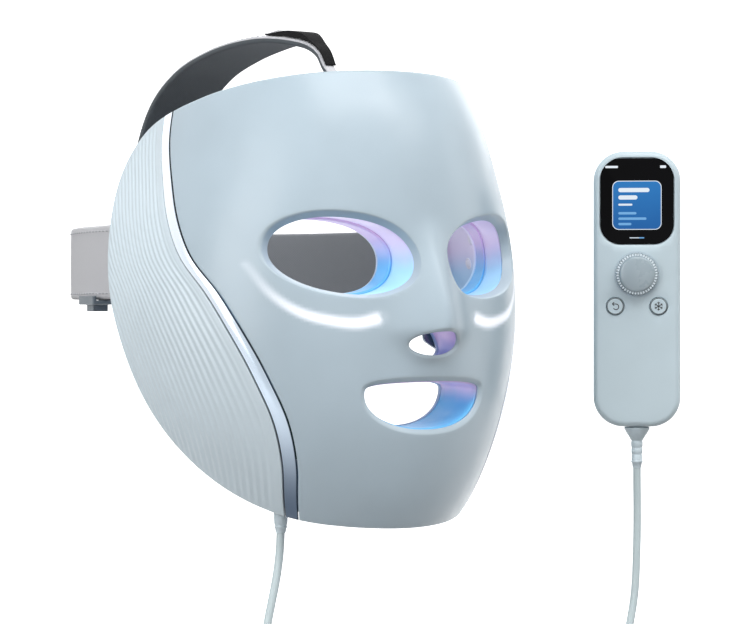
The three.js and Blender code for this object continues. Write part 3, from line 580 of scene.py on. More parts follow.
def moulded(name, rgb, rough=0.4, grain=0.02, grain_size=0.7, vary=0.05, coat=0.0, scatter=0.0, shine=0.5):
    """Moulded plastic: a fine grain, with slow drifts of tone and of roughness."""
    n = Nodes(name)
    n.put(
        Base_Color=n.mottled(n.noise(38, 2), linear(*rgb, by=1 - vary), linear(*rgb, by=1 + vary)),
        Roughness=n.ramp(n.noise(9, 4), 0.3, 0.7, rough - 0.05, rough + 0.06),
        Specular_IOR_Level=shine, Coat_Weight=coat, Coat_Roughness=0.15,
    )
    if scatter:
        n.put(Subsurface_Weight=scatter, Subsurface_Radius=(0.004, 0.003, 0.003), Subsurface_Scale=0.6)
    n.bump(n.noise(grain_size, 2), grain)
    return n


def metal(name, rgb, rough=0.2, brushed=None, vary=0.04):
    n = Nodes(name)
    streak = n.noise(2.5, 3, stretch=brushed) if brushed else n.noise(14, 3)
    n.put(
        Metallic=1.0, Base_Color=n.mottled(streak, linear(*rgb, by=1 - vary), linear(*rgb)),
        Roughness=n.ramp(streak, 0.3, 0.7, rough * 0.8, rough * 1.3),
    )
    n.bump(streak, 0.012 if brushed else 0.004)
    return n


def woven(name, rgb, thread=0.9, depth=0.12, vary=0.12, fuzz=0.3):
    """Woven elastic: ribs of yarn across the strap, read from its own length and width."""
    n = Nodes(name)
    u, v, _ = n.split(n.node("UVMap").outputs[0])
    turn = 2 * math.pi * 1000 / thread
    yarns = [n.math("SINE", n.math("MULTIPLY", at, by)) for at, by in ((u, turn), (v, turn * 0.8))]
    weave = n.math("MULTIPLY", *yarns)
    height = n.math("ADD", n.math("MULTIPLY", weave, 0.5), n.math("MULTIPLY", n.noise(3.2, 4), 0.35))
    n.put(
        Base_Color=n.mottled(height, linear(*rgb, by=1 - vary), linear(*rgb, by=1 + vary * 0.6), -0.4, 0.7),
        Roughness=0.85, Specular_IOR_Level=0.2, Sheen_Weight=fuzz, Sheen_Roughness=0.5,
    )
    n.bump(height, depth)
    return n


def glowing(name, low, high, tint_low, tint_high, glow=0.25):
    """Frosted plastic that carries light: its tint runs from one height to another."""
    n = Nodes(name)
    drift = n.math("MULTIPLY", n.math("SUBTRACT", n.noise(16, 2), 0.5), 0.006)
    t = n.ramp(n.math("ADD", n.height(), drift), low * MM, high * MM, soft=True)
    colour = n.mix(t, linear(*tint_low), linear(*tint_high))
    rough = n.ramp(n.noise(5, 3), 0.3, 0.7, 0.34, 0.46)
    n.put(Base_Color=colour, Roughness=rough, Emission_Color=colour, Emission_Strength=glow)
    n.bump(n.noise(0.9, 2), 0.015)
    return n


def front_shell():
    """Satin moulded plastic, with the soft bar of light under each eye showing through it."""
    n = moulded(
        "shell_front_plastic", (173, 190, 201), rough=0.33, grain=0.008, grain_size=0.5, vary=0.025, coat=0.12,
    )
    glow = n.attribute("glow")
    plain = n.shader.inputs["Base Color"].links[0].from_socket
    n.put(
        Base_Color=n.mix(glow, plain, (0.93, 0.95, 1.0)), Emission_Color=(0.90, 0.92, 1.0),
        Emission_Strength=n.math("MULTIPLY", glow, 0.42),
    )
    return n


def lit_rim():
    """The edges of the openings, with a faint painted glow that stands for the light from inside catching
    them; the same glow is painted on the shell's outer edge and the dial's seat ring.
    """
    n = moulded("rim_plastic", (172, 188, 197), rough=0.4, grain=0.008, vary=0.03)
    # painted glow: a little emission on a part that is no lamp
    n.put(Emission_Color=linear(206, 216, 232), Emission_Strength=n.ramp(n.noise(30, 2), 0.3, 0.7, 0.03, 0.06))
    return n


def lit_liner():
    """Frosted plastic, lit round the eyes by the lamps behind it."""
    n = moulded(
        "liner_frosted", (212, 220, 228), rough=0.45, grain=0.03, grain_size=1.2, vary=0.03, scatter=0.15,
    )
    x, _, z = n.split(n.where)
    side = n.math("SUBTRACT", n.math("ABSOLUTE", x), 62 * MM)
    away = n.math("SQRT", n.math("ADD", n.math("MULTIPLY", side, side), n.math("MULTIPLY", z, z)))
    near = n.ramp(away, 18 * MM, 62 * MM, 1.0, 0.12, soft=True)
    tint = n.mix(n.ramp(z, -8 * MM, 9 * MM, soft=True), linear(104, 176, 232), linear(206, 180, 228))
    n.put(Emission_Color=tint, Emission_Strength=n.math("MULTIPLY", near, 0.42))
    return n


def trim_metal():
    """Polished metal with a painted reflection, darker towards its lower end, and painted shade as a dark band
    along each edge.
    """
    n = metal("trim_chrome", (228, 233, 238), rough=0.16)
    z = n.height()
    # painted reflection: the colour runs from dark at the lower end to bright near the top
    low, high = n.ramp(z, -118 * MM, -60 * MM, soft=True), n.ramp(z, -60 * MM, 60 * MM, soft=True)
    tone = n.mix(high, n.mix(low, linear(60, 69, 81), linear(152, 163, 174)), linear(230, 236, 242))
    tone = n.mottled(n.noise(14, 3), tone, n.mix(0.04, tone, (0.0, 0.0, 0.0)))
    # painted shade: a dark band along each edge stands for the shaded gap to the neighbouring parts
    gap_shade = n.ramp(n.attribute("across"), 0.85, 0.92, soft=True)
    n.put(
        Base_Color=n.mix(gap_shade, tone, linear(40, 46, 54)), Specular_IOR_Level=n.ramp(gap_shade, 0.0, 1.0, 0.5, 0.1),
    )
    return n


def lit_screen(name, tint_low, tint_high):
    """A lit display, whose tint runs up it."""
    n = Nodes(name)
    t = n.math("ADD", n.ramp(n.height(), 14 * MM, 42 * MM), n.math("MULTIPLY", n.noise(7, 2), 0.12))
    n.put(
        Base_Color=(0.0, 0.0, 0.0), Emission_Color=n.mix(t, linear(*tint_low), linear(*tint_high)),
        Emission_Strength=1.0, Roughness=0.12, Specular_IOR_Level=0.04,
    )
    n.bump(n.noise(0.4, 1), 0.0005)
    return n


LOOKS = {
    "shell_front": front_shell(),
    "shell": moulded(
        "shell_plastic", (190, 206, 213), rough=0.36, grain=0.008, grain_size=0.5, vary=0.025, coat=0.1,
    ),
    "rim": lit_rim(),
    "panel": moulded(
        "panel_plastic", (205, 219, 227), rough=0.36, grain=0.008, grain_size=0.5, vary=0.02, coat=0.1,
    ),
    "trim": trim_metal(),
    "liner": lit_liner(),
    "lens": glowing("led_lens", -130, 100, (236, 240, 250), (240, 236, 250), glow=0.12),
    "eye_sleeve": glowing("eye_sleeve_frosted", -7, 11, (158, 208, 240), (222, 200, 228), glow=0.3),
    "eye_gasket": glowing("eye_gasket_silicone", -6, 12, (100, 178, 228), (206, 178, 218), glow=0.26),
    "mouth_sleeve": glowing("mouth_sleeve_frosted", -69, -58, (96, 174, 222), (216, 188, 222), glow=0.24),
    "nose_sleeve": glowing("nose_sleeve_frosted", -45, -36, (142, 150, 206), (214, 190, 226), glow=0.24),
    "pad": moulded(
        "pad_silicone", (196, 214, 226), rough=0.6, grain=0.05, grain_size=1.6, vary=0.03, scatter=0.2,
    ),
    "dark": moulded("dark_plastic", (66, 72, 78), rough=0.5, grain=0.03, vary=0.08),
    "slider": moulded("slider_plastic", (96, 106, 114), rough=0.45, grain=0.02, vary=0.06),
    "band": woven("band_elastic", (204, 204, 208), thread=0.8, depth=0.06, vary=0.06),
    "band_inner": woven("band_inner_face", (134, 137, 141), thread=1.1, depth=0.08, vary=0.1, fuzz=0.15),
    "lining": woven("band_lining", (84, 90, 94), thread=1.1, depth=0.08, vary=0.1, fuzz=0.12),
    "thread": moulded("stitch_thread", (186, 187, 192), rough=0.8, grain=0.05, grain_size=0.3),
    "hook": woven("hook_fabric", (11, 11, 13), thread=1.3, depth=0.2, vary=0.3, fuzz=0.0),
    "cord": moulded("cord_sheath", (192, 206, 209), rough=0.5, grain=0.02, grain_size=1.0, vary=0.03),
    "glass": moulded("cover_glass", (3, 3, 5), rough=0.1, grain=0.0005, grain_size=8, vary=0.2, shine=0.04),
    "steel": metal("plated_steel", (146, 151, 156), rough=0.25, brushed=(1, 1, 8)),
    "plate": metal("cold_plate_metal", (138, 145, 152), rough=0.3, brushed=(0.6, 0.6, 9), vary=0.16),
    "sink": metal("extruded_aluminium", (132, 138, 143), rough=0.35, brushed=(1, 1, 6)),
    "ceramic": moulded("module_ceramic", (232, 232, 226), rough=0.65, grain=0.03, vary=0.03),
    "board": moulded("board_mask", (30, 92, 62), rough=0.35, grain=0.04, grain_size=3, vary=0.15, coat=0.3),
    "guide": glowing("light_guide_acrylic", -40, 0, (230, 238, 250), (240, 240, 252), glow=0.3),
    "battery": moulded("battery_wrap", (88, 104, 122), rough=0.4, grain=0.03, grain_size=4, vary=0.08),
    "knob": moulded(
        "knob_satin", (146, 161, 169), rough=0.28, grain=0.02, grain_size=0.6, vary=0.05, coat=0.35,
    ),
    "tick": moulded("dial_tick", (222, 232, 238), rough=0.3, grain=0.01, coat=0.3),
    "gland": moulded("gland_rubber", (206, 220, 227), rough=0.45, grain=0.015, vary=0.02),
    "print": moulded("printed_ink", (16, 20, 25), rough=0.5, grain=0.01, vary=0.1),
    "screen": lit_screen("display_lit", (34, 92, 158), (48, 122, 190)),
    "ui_white": lit_screen("display_white", (216, 228, 240), (232, 240, 248)),
    "ui_blue": lit_screen("display_pale_blue", (110, 168, 220), (130, 184, 230)),
}
M = {key: nodes.material for key, nodes in LOOKS.items()}

# ------------------------------------------------------------------ camera and cord

def add_object(name, data):
    obj = bpy.data.objects.new(name, data)
    bpy.context.scene.collection.objects.link(obj)
    return obj


def aim(obj, place, direction):
    """Puts a camera or a light in place, looking along a direction."""
    obj.location = place
    obj.rotation_mode = "QUATERNION"
    obj.rotation_quaternion = direction.to_track_quat("-Z", "Y")


camera_data = bpy.data.cameras.new("camera")
camera_data.lens = 119.5
camera_data.sensor_width = 36
camera_data.clip_start, camera_data.clip_end = 0.05, 60
camera = add_object("camera", camera_data)
aim(camera, (-0.6718, -1.0546, -0.025), Vector((0.559193, 0.829038, 0)))
bpy.context.scene.camera = camera


def turned_about(x, y, angle):
    c, s = math.cos(angle), math.sin(angle)
    return x * c - y * s, x * s + y * c


def hanging(p):
    """Across, deep and up in the plane that faces the camera, to the frame."""
    p = np.asarray(p, float)
    return np.stack([*turned_about(p[:, 0], p[:, 1], -VIEW_YAW), p[:, 2]], 1)


def in_hand(p):
    """The hand control's own millimetres to the frame: y = 0 is its front face."""
    x, y = turned_about(p[:, 0], p[:, 1], HANDSET_AT["turn"])
    return hanging(np.stack([HANDSET_AT["across"] + x, y, HANDSET_AT["z"] + p[:, 2]], 1))


def cord_route():
    """The cord's centre line in the hanging plane: mask, two layers of coil, hand control."""
    turns, pitch = COIL["turns"], COIL["pitch"]
    t = np.linspace(0, 1, int(turns * 40) + 1)[1:-1]
    angle = math.pi + 2 * math.pi * turns * t
    radius = COIL["inner"] + (COIL["outer"] - COIL["inner"]) * smooth(0.47, 0.53, t)
    deep = np.where(t < 0.5, 4 * pitch * t - pitch, pitch - 4 * pitch * (t - 0.5))
    ring = np.stack([
        COIL["across"] + radius * np.cos(angle), COIL["deep"] + deep, COIL["z"] + radius * np.sin(angle),
    ], 1)
    lead = np.vstack([[GLAND_AT["across"], GLAND_AT["deep"], GLAND_AT["bottom"] - 0.5], MASK_LEAD])
    tail = np.vstack([HANDSET_LEAD, np.array(HANDSET_LEAD[-1]) + [0, 0, 4]])
    first = even(catmull(np.vstack([lead, ring[4:5]])), 2.0)
    last = even(catmull(np.vstack([ring[-4:-3], tail])), 2.0)
    soft = np.vstack([first[:-1], ring[4:-3], last[1:]])
    for _ in range(6):
        soft[1:-1] = (soft[:-2] + 2 * soft[1:-1] + soft[2:]) / 4
    return even(soft, 2.2)


def make_cord():
    points = hanging(cord_route()) * MM
    curve = bpy.data.curves.new("lead_cord", "CURVE")
    curve.dimensions = "3D"
    spline = curve.splines.new("POLY")
    spline.points.add(len(points) - 1)
    for sp, p in zip(spline.points, points):
        sp.co = (*p, 1)
    curve.bevel_depth = CORD_RADIUS * MM
    curve.bevel_resolution = 5
    curve.use_fill_caps = True
    curve.materials.append(M["cord"])
    cord = add_object("lead_cord", curve)
    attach(cord, "mask")
    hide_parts("cord_mask_lead", "cord_coil", "cord_handset_lead")
    return cord, points[0], float(run_along(points)[-1])


cord, cord_exit, cord_length = make_cord()

# ------------------------------------------------------------------ mask shells

SIDES = (("right", -1), ("left", 1))


def outline_loop(margin=0.0):
    """The mask's edge as a closed loop over the head form, drawn in by a margin."""
    rows = np.array(OUTLINE, float)
    moved = []
    for i, p in enumerate(rows):
        along = unit(rows[min(i + 1, len(rows) - 1)] - rows[max(i - 1, 0)])
        moved.append([p[0] + along[1] * margin, p[1] - along[0] * margin])
    line = even(catmull(moved), 0.04)
    kept = line[line[:, 0] + station(line[:, 1], 2) > 0]
    half = even(np.vstack([[0, kept[0, 1]], from_side(kept, 1), [0, kept[-1, 1]]]), 0.8)
    return counter_clockwise(mirrored(half))


def trim_width(z):
    return TRIM_BOTTOM + (TRIM_TOP - TRIM_BOTTOM) * smooth(-90, 70, z)


TRIM_CENTRE = even(catmull(TRIM_LINE), 0.5)


def trim_middle(z):
    order = np.argsort(TRIM_CENTRE[:, 1])
    return np.interp(z, TRIM_CENTRE[order, 1], TRIM_CENTRE[order, 0])


def trim_edge(shift, side):
    """One edge of the trim, from above the mask to below it."""
    z = np.arange(100, -139, -0.8)
    y = trim_middle(z) + np.sign(shift) * trim_width(z) / 2 + shift
    return from_side(np.stack([y, z], 1), side)


def between(first, last):
    return counter_clockwise(np.vstack([first, last[::-1]]))


OUTER = outline_loop()


def bevelled(outer_xz, hole_xz, profile, beyond, inner_xz):
    """A hole with a bevelled edge: from its outline on the skin down to the hole, then on to the inner face.
    profile has (share of the way to the hole, depth); beyond has (loop, depth)."""
    steps = [(outer_xz * (1 - f) + hole_xz * f, depth) for f, depth in profile]
    rings = [skin(from_front(xz, skin, depth), depth) for xz, depth in steps + beyond]
    return from_front(outer_xz, skin), from_front(inner_xz, skin, WALL), rings


EYE_PROFILE = [  # share of the way to the hole, depth
    (0.06, 0.05), (0.14, 0.2), (0.26, 0.65), (0.42, 1.5), (0.6, 2.6), (0.78, 3.7), (0.9, 4.4), (0.97, 4.75),
    (1, 5.0),
]
EYE_BEYOND = [(0.25, 5.15), (3.4, 5.1), (5.4, 4.6), (6.6, 2.7)]  # how far outside the hole, depth
SOFT_PROFILE = [(0.08, 0.03), (0.25, 0.14), (0.5, 0.42), (0.75, 0.74), (0.93, 0.95), (1, 1.1)]


def eye_rim(side):
    outer = eye_loop(side, out=2.6, up=0.9, wide=3.4, tall=2.6)
    beyond = [(eye_loop(side, grow), depth) for grow, depth in EYE_BEYOND]
    return bevelled(outer, eye_loop(side), EYE_PROFILE, beyond, eye_loop(side, 6.9))


def soft_rim(loop_of, wide, deep, grow):
    profile = [(f, share * deep) for f, share in SOFT_PROFILE]
    beyond = [(loop_of(grow), WALL - 0.25), (loop_of(grow + 0.25), WALL)]
    return bevelled(loop_of(grow + wide), loop_of(grow), profile, beyond, loop_of(grow + 0.6))


GUIDE_DENSE = even(catmull(GUIDE_LINE), 0.6)


def glow_at(xyz):
    """How much of the light bar under each eye shows at each point."""
    xz = np.stack([np.abs(xyz[:, 0]), xyz[:, 2]], 1)
    close = (np.abs(xz[:, 0] - 52) < 36) & (np.abs(xz[:, 1] + 18) < 24) & (xyz[:, 1] < -10)
    d = np.linalg.norm(xz[close][:, None] - GUIDE_DENSE[None], axis=2)
    t = d.argmin(1) / (len(GUIDE_DENSE) - 1)
    body = 1 - smooth(0.1, 1.5, d.min(1) / (3.1 - 1.5 * t))
    value = np.zeros(len(xz))
    value[close] = body * smooth(-0.01, 0.04, t) * (1 - 0.85 * smooth(0.35, 1.0, t))
    return value


def shell(build, layer, thick, edge, holes=(), step=1.6, rise=None, bulge=(None, None), rim_mark=0,
          scale=(1, 1), inner_step=None):
    """A closed shell between depth 0 and thick. edge and each hole are (outer loop, inner loop, rings).
    A hole with no inner loop is closed by a flat floor at its last ring."""
    sides = []
    for k, depth in ((0, 0.0), (1, thick)):
        open_holes = [h[k] for h in holes if h[k] is not None]
        pitch, high, by = (step, rise, scale) if k == 0 else (inner_step or step, None, (1, 1))
        grid = lattice(edge[k], pitch, high)
        flat, tris, marks = triangulate(edge[k], open_holes, grid, 0.55 * pitch * by[0], by)
        at = build.points(layer(flat, depth if bulge[k] is None else bulge[k](flat)))
        build.faces([[at[i] for i in (t if k == 0 else t[::-1])] for t in tris])
        sides.append([at[m] for m in marks])
    inner_loops = iter(sides[1])
    for first, (outer, inner, rings) in zip(sides[0], [edge, *holes]):
        rows = [first] + [build.points(r) for r in rings]
        if inner is None:
            build.rings(rows, rim_mark)
            build.fill(rows[-1], outer, rim_mark, flip=True)
        else:
            build.rings(rows + [next(inner_loops)], rim_mark)


def make_front_shell():
    region = between(trim_edge(-GAP, 1), trim_edge(-GAP, -1))
    loop = even_cornered(combine(OUTER, region), 1.1)
    holes = [eye_rim(1), eye_rim(-1)]
    holes += [soft_rim(mouth_loop, 2.6, 1.5, 0.8), soft_rim(nostril_loop, 1.7, 1.2, 0.4)]
    build = Build()
    shell(build, skin, WALL, rim_rings(loop, skin, WALL, 0.8), holes, step=1.5, inner_step=4.0, rim_mark=1)
    glow = {"glow": glow_at(np.vstack(build.rows))}
    build.finish("front_shell_fine", ("shell_front", "rim"), "front_shell", attributes=glow)


def make_trim(word, side):
    loop = even_cornered(combine(OUTER, between(trim_edge(-1e-6, side), trim_edge(1e-6, side))), 1.0)

    def across(y, z):
        return (y - trim_middle(z)) / (trim_width(z) / 2)

    def crown(flat):
        u = across(skin(flat)[:, 1], flat[:, 1])
        return -0.35 * np.clip(1 - u**2, 0, 1) * smooth(0.3, 2.2, nearest(flat, loop))

    build = Build()
    shell(build, skin, WALL, rim_rings(loop, skin, WALL, 0.55), step=0.9, inner_step=3.0, bulge=(crown, None))
    _, y, z = np.vstack(build.rows).T
    # how far across the strip each point lies; the trim's material paints shade along its edges from it
    edge = {"across": np.abs(across(y, z))}
    build.finish(f"trim_fine_{word}", "trim", f"trim_strip_{word}", angle=60, attributes=edge)


RIB_PITCH, RIB_DEEP, RIB_START = 3.5, 0.42, 4.6


def panel_back_edge(z):
    return trim_middle(z) + trim_width(z) / 2 + GAP


def make_panel(word, side):
    far = np.stack([np.full(240, side * 215.0), np.arange(100, -140, -1.0)], 1)
    in_wrap = combine(OUTER, between(trim_edge(GAP, side), far))
    y = lift(in_wrap, 0, 0, 0)[:, 1]
    loop = np.stack([y - panel_back_edge(in_wrap[:, 1]), in_wrap[:, 1]], 1)
    loop = even_cornered(counter_clockwise(loop), 1.0)

    def layer(p, depth=0.0):
        yz = np.stack([p[:, 0] + panel_back_edge(p[:, 1]), p[:, 1]], 1)
        return skin(from_side(yz, side), depth)

    def ribs(flat):
        u = flat[:, 0]
        wave = 0.5 + 0.5 * np.cos(2 * math.pi * (u - RIB_START) / RIB_PITCH)
        plain = smooth(2.6, 4.8, u) * smooth(0.4, 1.8, nearest(flat, loop))
        return RIB_DEEP * (1 - wave) * plain

    build = Build()
    shell(
        build, layer, WALL, rim_rings(loop, layer, WALL, 0.7), step=0.5, rise=2.5, bulge=(ribs, None),
        scale=(1, 0.2), inner_step=4.0,
    )
    build.finish(f"panel_ribbed_{word}", "panel", f"side_panel_{word}", angle=60)


make_front_shell()
for word, side in SIDES:
    make_trim(word, side)
    make_panel(word, side)

# ------------------------------------------------------------------ liner, lenses, tunnels

STACK = {"x": 52, "z": -36, "half": 7.35, "yaw": math.radians(34)}


def liner_hole(xz):
    """A hole through the liner with eased edges."""
    rings = [liner(from_front(xz, liner, depth), depth) for depth in (0.5, LINER_WALL - 0.5)]
    wide = offset(xz, 0.5)
    return from_front(wide, liner), from_front(wide, liner, LINER_WALL), rings


def window_loop(side):
    """The window in the liner that a cooling stack passes through, seen from the front."""
    wide = 2 * STACK["half"] * math.cos(STACK["yaw"])
    return rounded(wide, 2 * STACK["half"], 1.0, STACK["z"], side * STACK["x"])


LINER_BOX = np.array([[-185, -150], [185, -150], [185, 120], [-185, 120]], float)
LINER_OUT = combine(outline_loop(4.0), LINER_BOX)
LINER_HOLES = [eye_loop(1), eye_loop(-1), mouth_loop(), pocket_loop(), window_loop(1), window_loop(-1)]
PAD_LOOP = {"width": 84, "height": 20, "corner": 9, "cz": 55}
LENS = (  # radius, depth
    (2.9, 1.7), (2.9, 2.25), (2.7, 2.42), (2.35, 2.42), (2.2, 2.3), (1.6, 2.72), (0.8, 2.92),
)


def make_liner():
    loop = even_cornered(LINER_OUT, 1.4)
    build = Build()
    holes = [liner_hole(h) for h in LINER_HOLES]
    shell(build, liner, LINER_WALL, rim_rings(loop, liner, LINER_WALL, 0.6), holes, step=2.6, inner_step=2.2)
    build.finish("liner_fine", "liner", "inner_liner")


def make_lenses():
    """Low domes over the light modules, in staggered rows over the liner's inner face."""
    spots = lattice(LINER_OUT, 13.5, 12.5)
    spots = spots[inside(spots, LINER_OUT)]
    spots = spots[nearest(spots, even(LINER_OUT, 1.0, closed=True)) > 9]
    plates = [bent_bar(PLATE_LINE, PLATE_HALF, side) for _, side in SIDES]
    for xz in LINER_HOLES[:4] + plates + [rounded(**PAD_LOOP)]:
        loop = counter_clockwise(from_front(xz, liner, LINER_WALL))
        spots = spots[~inside(spots, loop) & (nearest(spots, loop) > 5.5)]
    wrap, height = np.abs(spots[:, 0]), spots[:, 1]
    by_anchor = (wrap > 150) & (np.abs(height) < 24)
    by_top = (wrap < 16) & (height > 70)
    build = Build()
    ring = circle(1.0, count=16)
    for spot in spots[~by_anchor & ~by_top]:
        build.tube([build.points(liner(spot + ring * radius, depth)) for radius, depth in LENS])
    build.finish("led_lenses", "lens")


def make_tunnel(name, node, loop_of, grow, front, back, look):
    """A short tube that follows an opening's outline. front and back are (layer, depth)."""
    inner, outer = loop_of(grow), loop_of(grow + SLEEVE_WALL)
    ease = 0.4

    def y_at(xz, limit):
        layer, depth = limit
        return layer(from_front(xz, layer, depth), depth)[:, 1]

    def ring(across, place):
        """place runs from 0 to 1 between the eased ends, or names one of the very ends."""
        xz = inner * (1 - across) + outer * across
        low, high = y_at(xz, front), y_at(xz, back)
        y = {"back": high, "front": low}.get(place)
        if y is None:
            y = (low + ease) + (high - low - 2 * ease) * place
        return build.points(np.stack([xz[:, 0], y, xz[:, 1]], 1))

    build = Build()
    path = [(0, t) for t in np.linspace(0, 1, 9)] + [(0.25, "back"), (0.75, "back")]
    path += [(1, t) for t in np.linspace(1, 0, 5)] + [(0.75, "front"), (0.25, "front")]
    rows = [ring(*step) for step in path]
    build.rings(rows + rows[:1])
    build.finish(name, look, node, angle=60)


make_liner()
make_lenses()
for word, side in SIDES:
    opening = partial(eye_loop, side)
    make_tunnel(
        f"eye_sleeve_fine_{word}", f"eye_sleeve_{word}", opening, 0.3, (skin, LIP_DEEP + GAP),
        (middle, -GAP / 2), "eye_sleeve",
    )
    make_tunnel(
        f"eye_gasket_fine_{word}", f"eye_gasket_{word}", opening, -0.6, (middle, GAP / 2),
        (liner, -GAP), "eye_gasket",
    )
for name, loop_of in (("mouth_sleeve", mouth_loop), ("nose_sleeve", pocket_loop)):
    make_tunnel(f"{name}_fine", name, loop_of, 0.3, (skin, WALL + GAP), (liner, -GAP), name)


def on_liner(p, depth=0.0):
    """The layers of what lies on the liner's inner face."""
    return liner(p, LINER_WALL + GAP + depth)


def make_plate(word, side):
    thick = 1.8
    loop = counter_clockwise(from_front(bent_bar(PLATE_LINE, PLATE_HALF, side), on_liner))
    build = Build()
    shell(build, on_liner, thick, rim_rings(loop, on_liner, thick, 0.6), step=2.0, inner_step=2.0)
    build.finish(f"cold_plate_fine_{word}", "plate", f"cold_plate_{word}", angle=60)


def make_forehead_pad():
    thick = 2.2
    loop = counter_clockwise(from_front(rounded(**PAD_LOOP, step=1.2), on_liner))

    def crowned(flat):
        edge = nearest(flat, loop)
        channel = np.exp(-((np.abs(flat[:, 0]) - 14) / 1.5) ** 2) * smooth(0.5, 3.5, edge)
        return thick + 2.3 * smooth(0, 8.5, edge) - 1.1 * channel

    build = Build()
    rim = rim_rings(loop, on_liner, thick, 1.0)
    shell(build, on_liner, thick, rim, step=1.5, inner_step=1.1, bulge=(None, crowned))
    build.finish("forehead_pad_fine", "pad", "forehead_pad", angle=70)


for word, side in SIDES:
    make_plate(word, side)
make_forehead_pad()

# ------------------------------------------------------------------ harness

def section(half_wide, half_thick, corner, crown):
    """A strap's cross-section, as (across, out) points round its edge."""
    pts = []
    reach = half_wide - corner
    for sx, sy, start in CORNERS:
        for a in np.radians(start + 18 * np.arange(6)):
            pts.append([sx * reach + corner * math.cos(a), sy * (half_thick - corner) + corner * math.sin(a)])
        if start in (0, 180):
            pts += [[sy * reach * t, sy * half_thick] for t in np.linspace(1, -1, 15)[1:-1]]
    pts = np.array(pts)
    pts[:, 1] += np.sign(pts[:, 1]) * crown * np.clip(1 - (pts[:, 0] / half_wide) ** 2, 0, 1)
    return pts


def sweep(build, centre, out, across, sections, lined=None):
    """A closed strap along a line. Faces further in than lined, a share of its half thickness, get mark 1."""
    rows = []
    for c, n, b, pts, u in zip(centre, out, across, sections, run_along(centre)):
        at = build.points(c + pts[:, :1] * b + pts[:, 1:] * n)
        build.uv[int(at[0])] = np.stack([np.full(len(pts), u), run_along(pts)], 1) * MM
        rows.append(at)
    count = len(rows[0])
    rise = sections[0][:, 1]
    limit = -math.inf if lined is None else 2 * lined * rise.max()
    inward = rise + np.roll(rise, -1) < limit
    for a, b in zip(rows[:-1], rows[1:]):
        for i in range(count):
            k = (i + 1) % count
            build.faces([(a[i], a[k], b[k], b[i])], int(inward[i]))
    build.cap(rows[0], flip=True)
    build.cap(rows[-1])


STITCH = {"long": 2.6, "gap": 1.6, "half_wide": 0.42, "half_tall": 0.3}
STITCH_RINGS = (  # share of the length, size, rise
    (0, 0.35, -0.12), (0.25, 1, 0.08), (0.75, 1, 0.08), (1, 0.35, -0.12),
)


def stitch_row(build, line, normal):
    """Sewn stitches along a line, each a small rounded bar lying on the cloth."""
    run = run_along(line)
    share, size, rise = np.array(STITCH_RINGS).T
    for start in np.arange(2.0, run[-1] - STITCH["long"] - 1, STITCH["long"] + STITCH["gap"]):
        at = start + share * STITCH["long"]
        p, n = (np.stack([np.interp(at, run, rows[:, k]) for k in range(3)], 1) for rows in (line, normal))
        n = unit(n)
        wide = np.cross(n, unit(p[-1] - p[0])) * STITCH["half_wide"]
        rows = []
        for k in range(4):
            across, tall = wide[k] * size[k], STITCH["half_tall"] * size[k]
            ring = [p[k] + across * math.cos(a) + n[k] * (rise[k] + tall * math.sin(a)) for a in full_turn(6)]
            rows.append(build.points(ring))
        build.tube(rows)


def band_path():
    """The rear band's centre line and outward directions, from the wearer's left anchor round to the right."""
    a = np.linspace(0, math.pi, 4000)
    half, reach = BAND["half"] - BAND["thick"] / 2, BAND["reach"] - BAND["thick"] / 2
    x = half * signed_power(np.cos(a), 2 / BAND["power"])
    y = BAND["start"] + reach * np.sin(a) ** (2 / BAND["power"])
    line = even(np.stack([x, y], 1), 2.5)
    along = unit(np.gradient(line, axis=0))
    level = np.zeros(len(line))
    return np.column_stack([line, level]), np.column_stack([along[:, 1], -along[:, 0], level])


def make_rear_band():
    centre, out = band_path()
    up = np.tile([0.0, 0.0, 1.0], (len(centre), 1))
    pts = section(BAND["tall"], BAND["thick"] / 2 - 0.25, 1.5, 0.25)
    build = Build()
    sweep(build, centre, out, up, [pts] * len(centre), lined=-0.6)
    build.finish("rear_band_fine", ("band", "band_inner"), "rear_band", angle=60)
    stitches = Build()
    for z in (-15.6, 15.6):
        stitch_row(stitches, centre + out * (BAND["thick"] / 2 - 0.05) + up * z, out)
    stitches.finish("rear_band_stitches", "thread", angle=70)


def side_strap(line, step):
    """A strap over the head, given from the side as (y, z, width).
    Returns its centre line, its outward and across directions, and its widths."""
    path = even(catmull(line, 60), step)
    level = np.zeros(len(path))
    centre = np.column_stack([level, path[:, :2]])
    along = unit(np.gradient(centre, axis=0))
    out = np.column_stack([level, along[:, 2], -along[:, 1]])
    return centre, out, np.tile([1.0, 0.0, 0.0], (len(path), 1)), path[:, 2]


def make_top_band():
    centre, out, across, wide = side_strap(CROWN_LINE, 2.2)
    build = Build()
    sections = [section(w / 2, 1.75, min(1.2, w / 5), 0.25) for w in wide]
    sweep(build, centre, out, across, sections, lined=0.3)
    build.finish("top_band_fine", ("band", "lining"), "top_band", angle=60)
    stitches = Build()
    inset = np.maximum(wide / 2 - 2.6, 1.0)[:, None]
    room = wide > 11
    for side in (-1, 1):
        line = centre + across * side * inset + out * 1.95
        stitch_row(stitches, line[room], out[room])
    box = even(np.array([[-15, -12], [15, -12], [15, 4], [-15, 4], [-15, -12]], float), 0.5)
    box = np.insert(box, 1, centre[0, 1] + 2.75, axis=1)
    stitch_row(stitches, box, np.tile([0.0, 1.0, 0.0], (len(box), 1)))
    stitches.finish("top_band_stitches", "thread", angle=70)


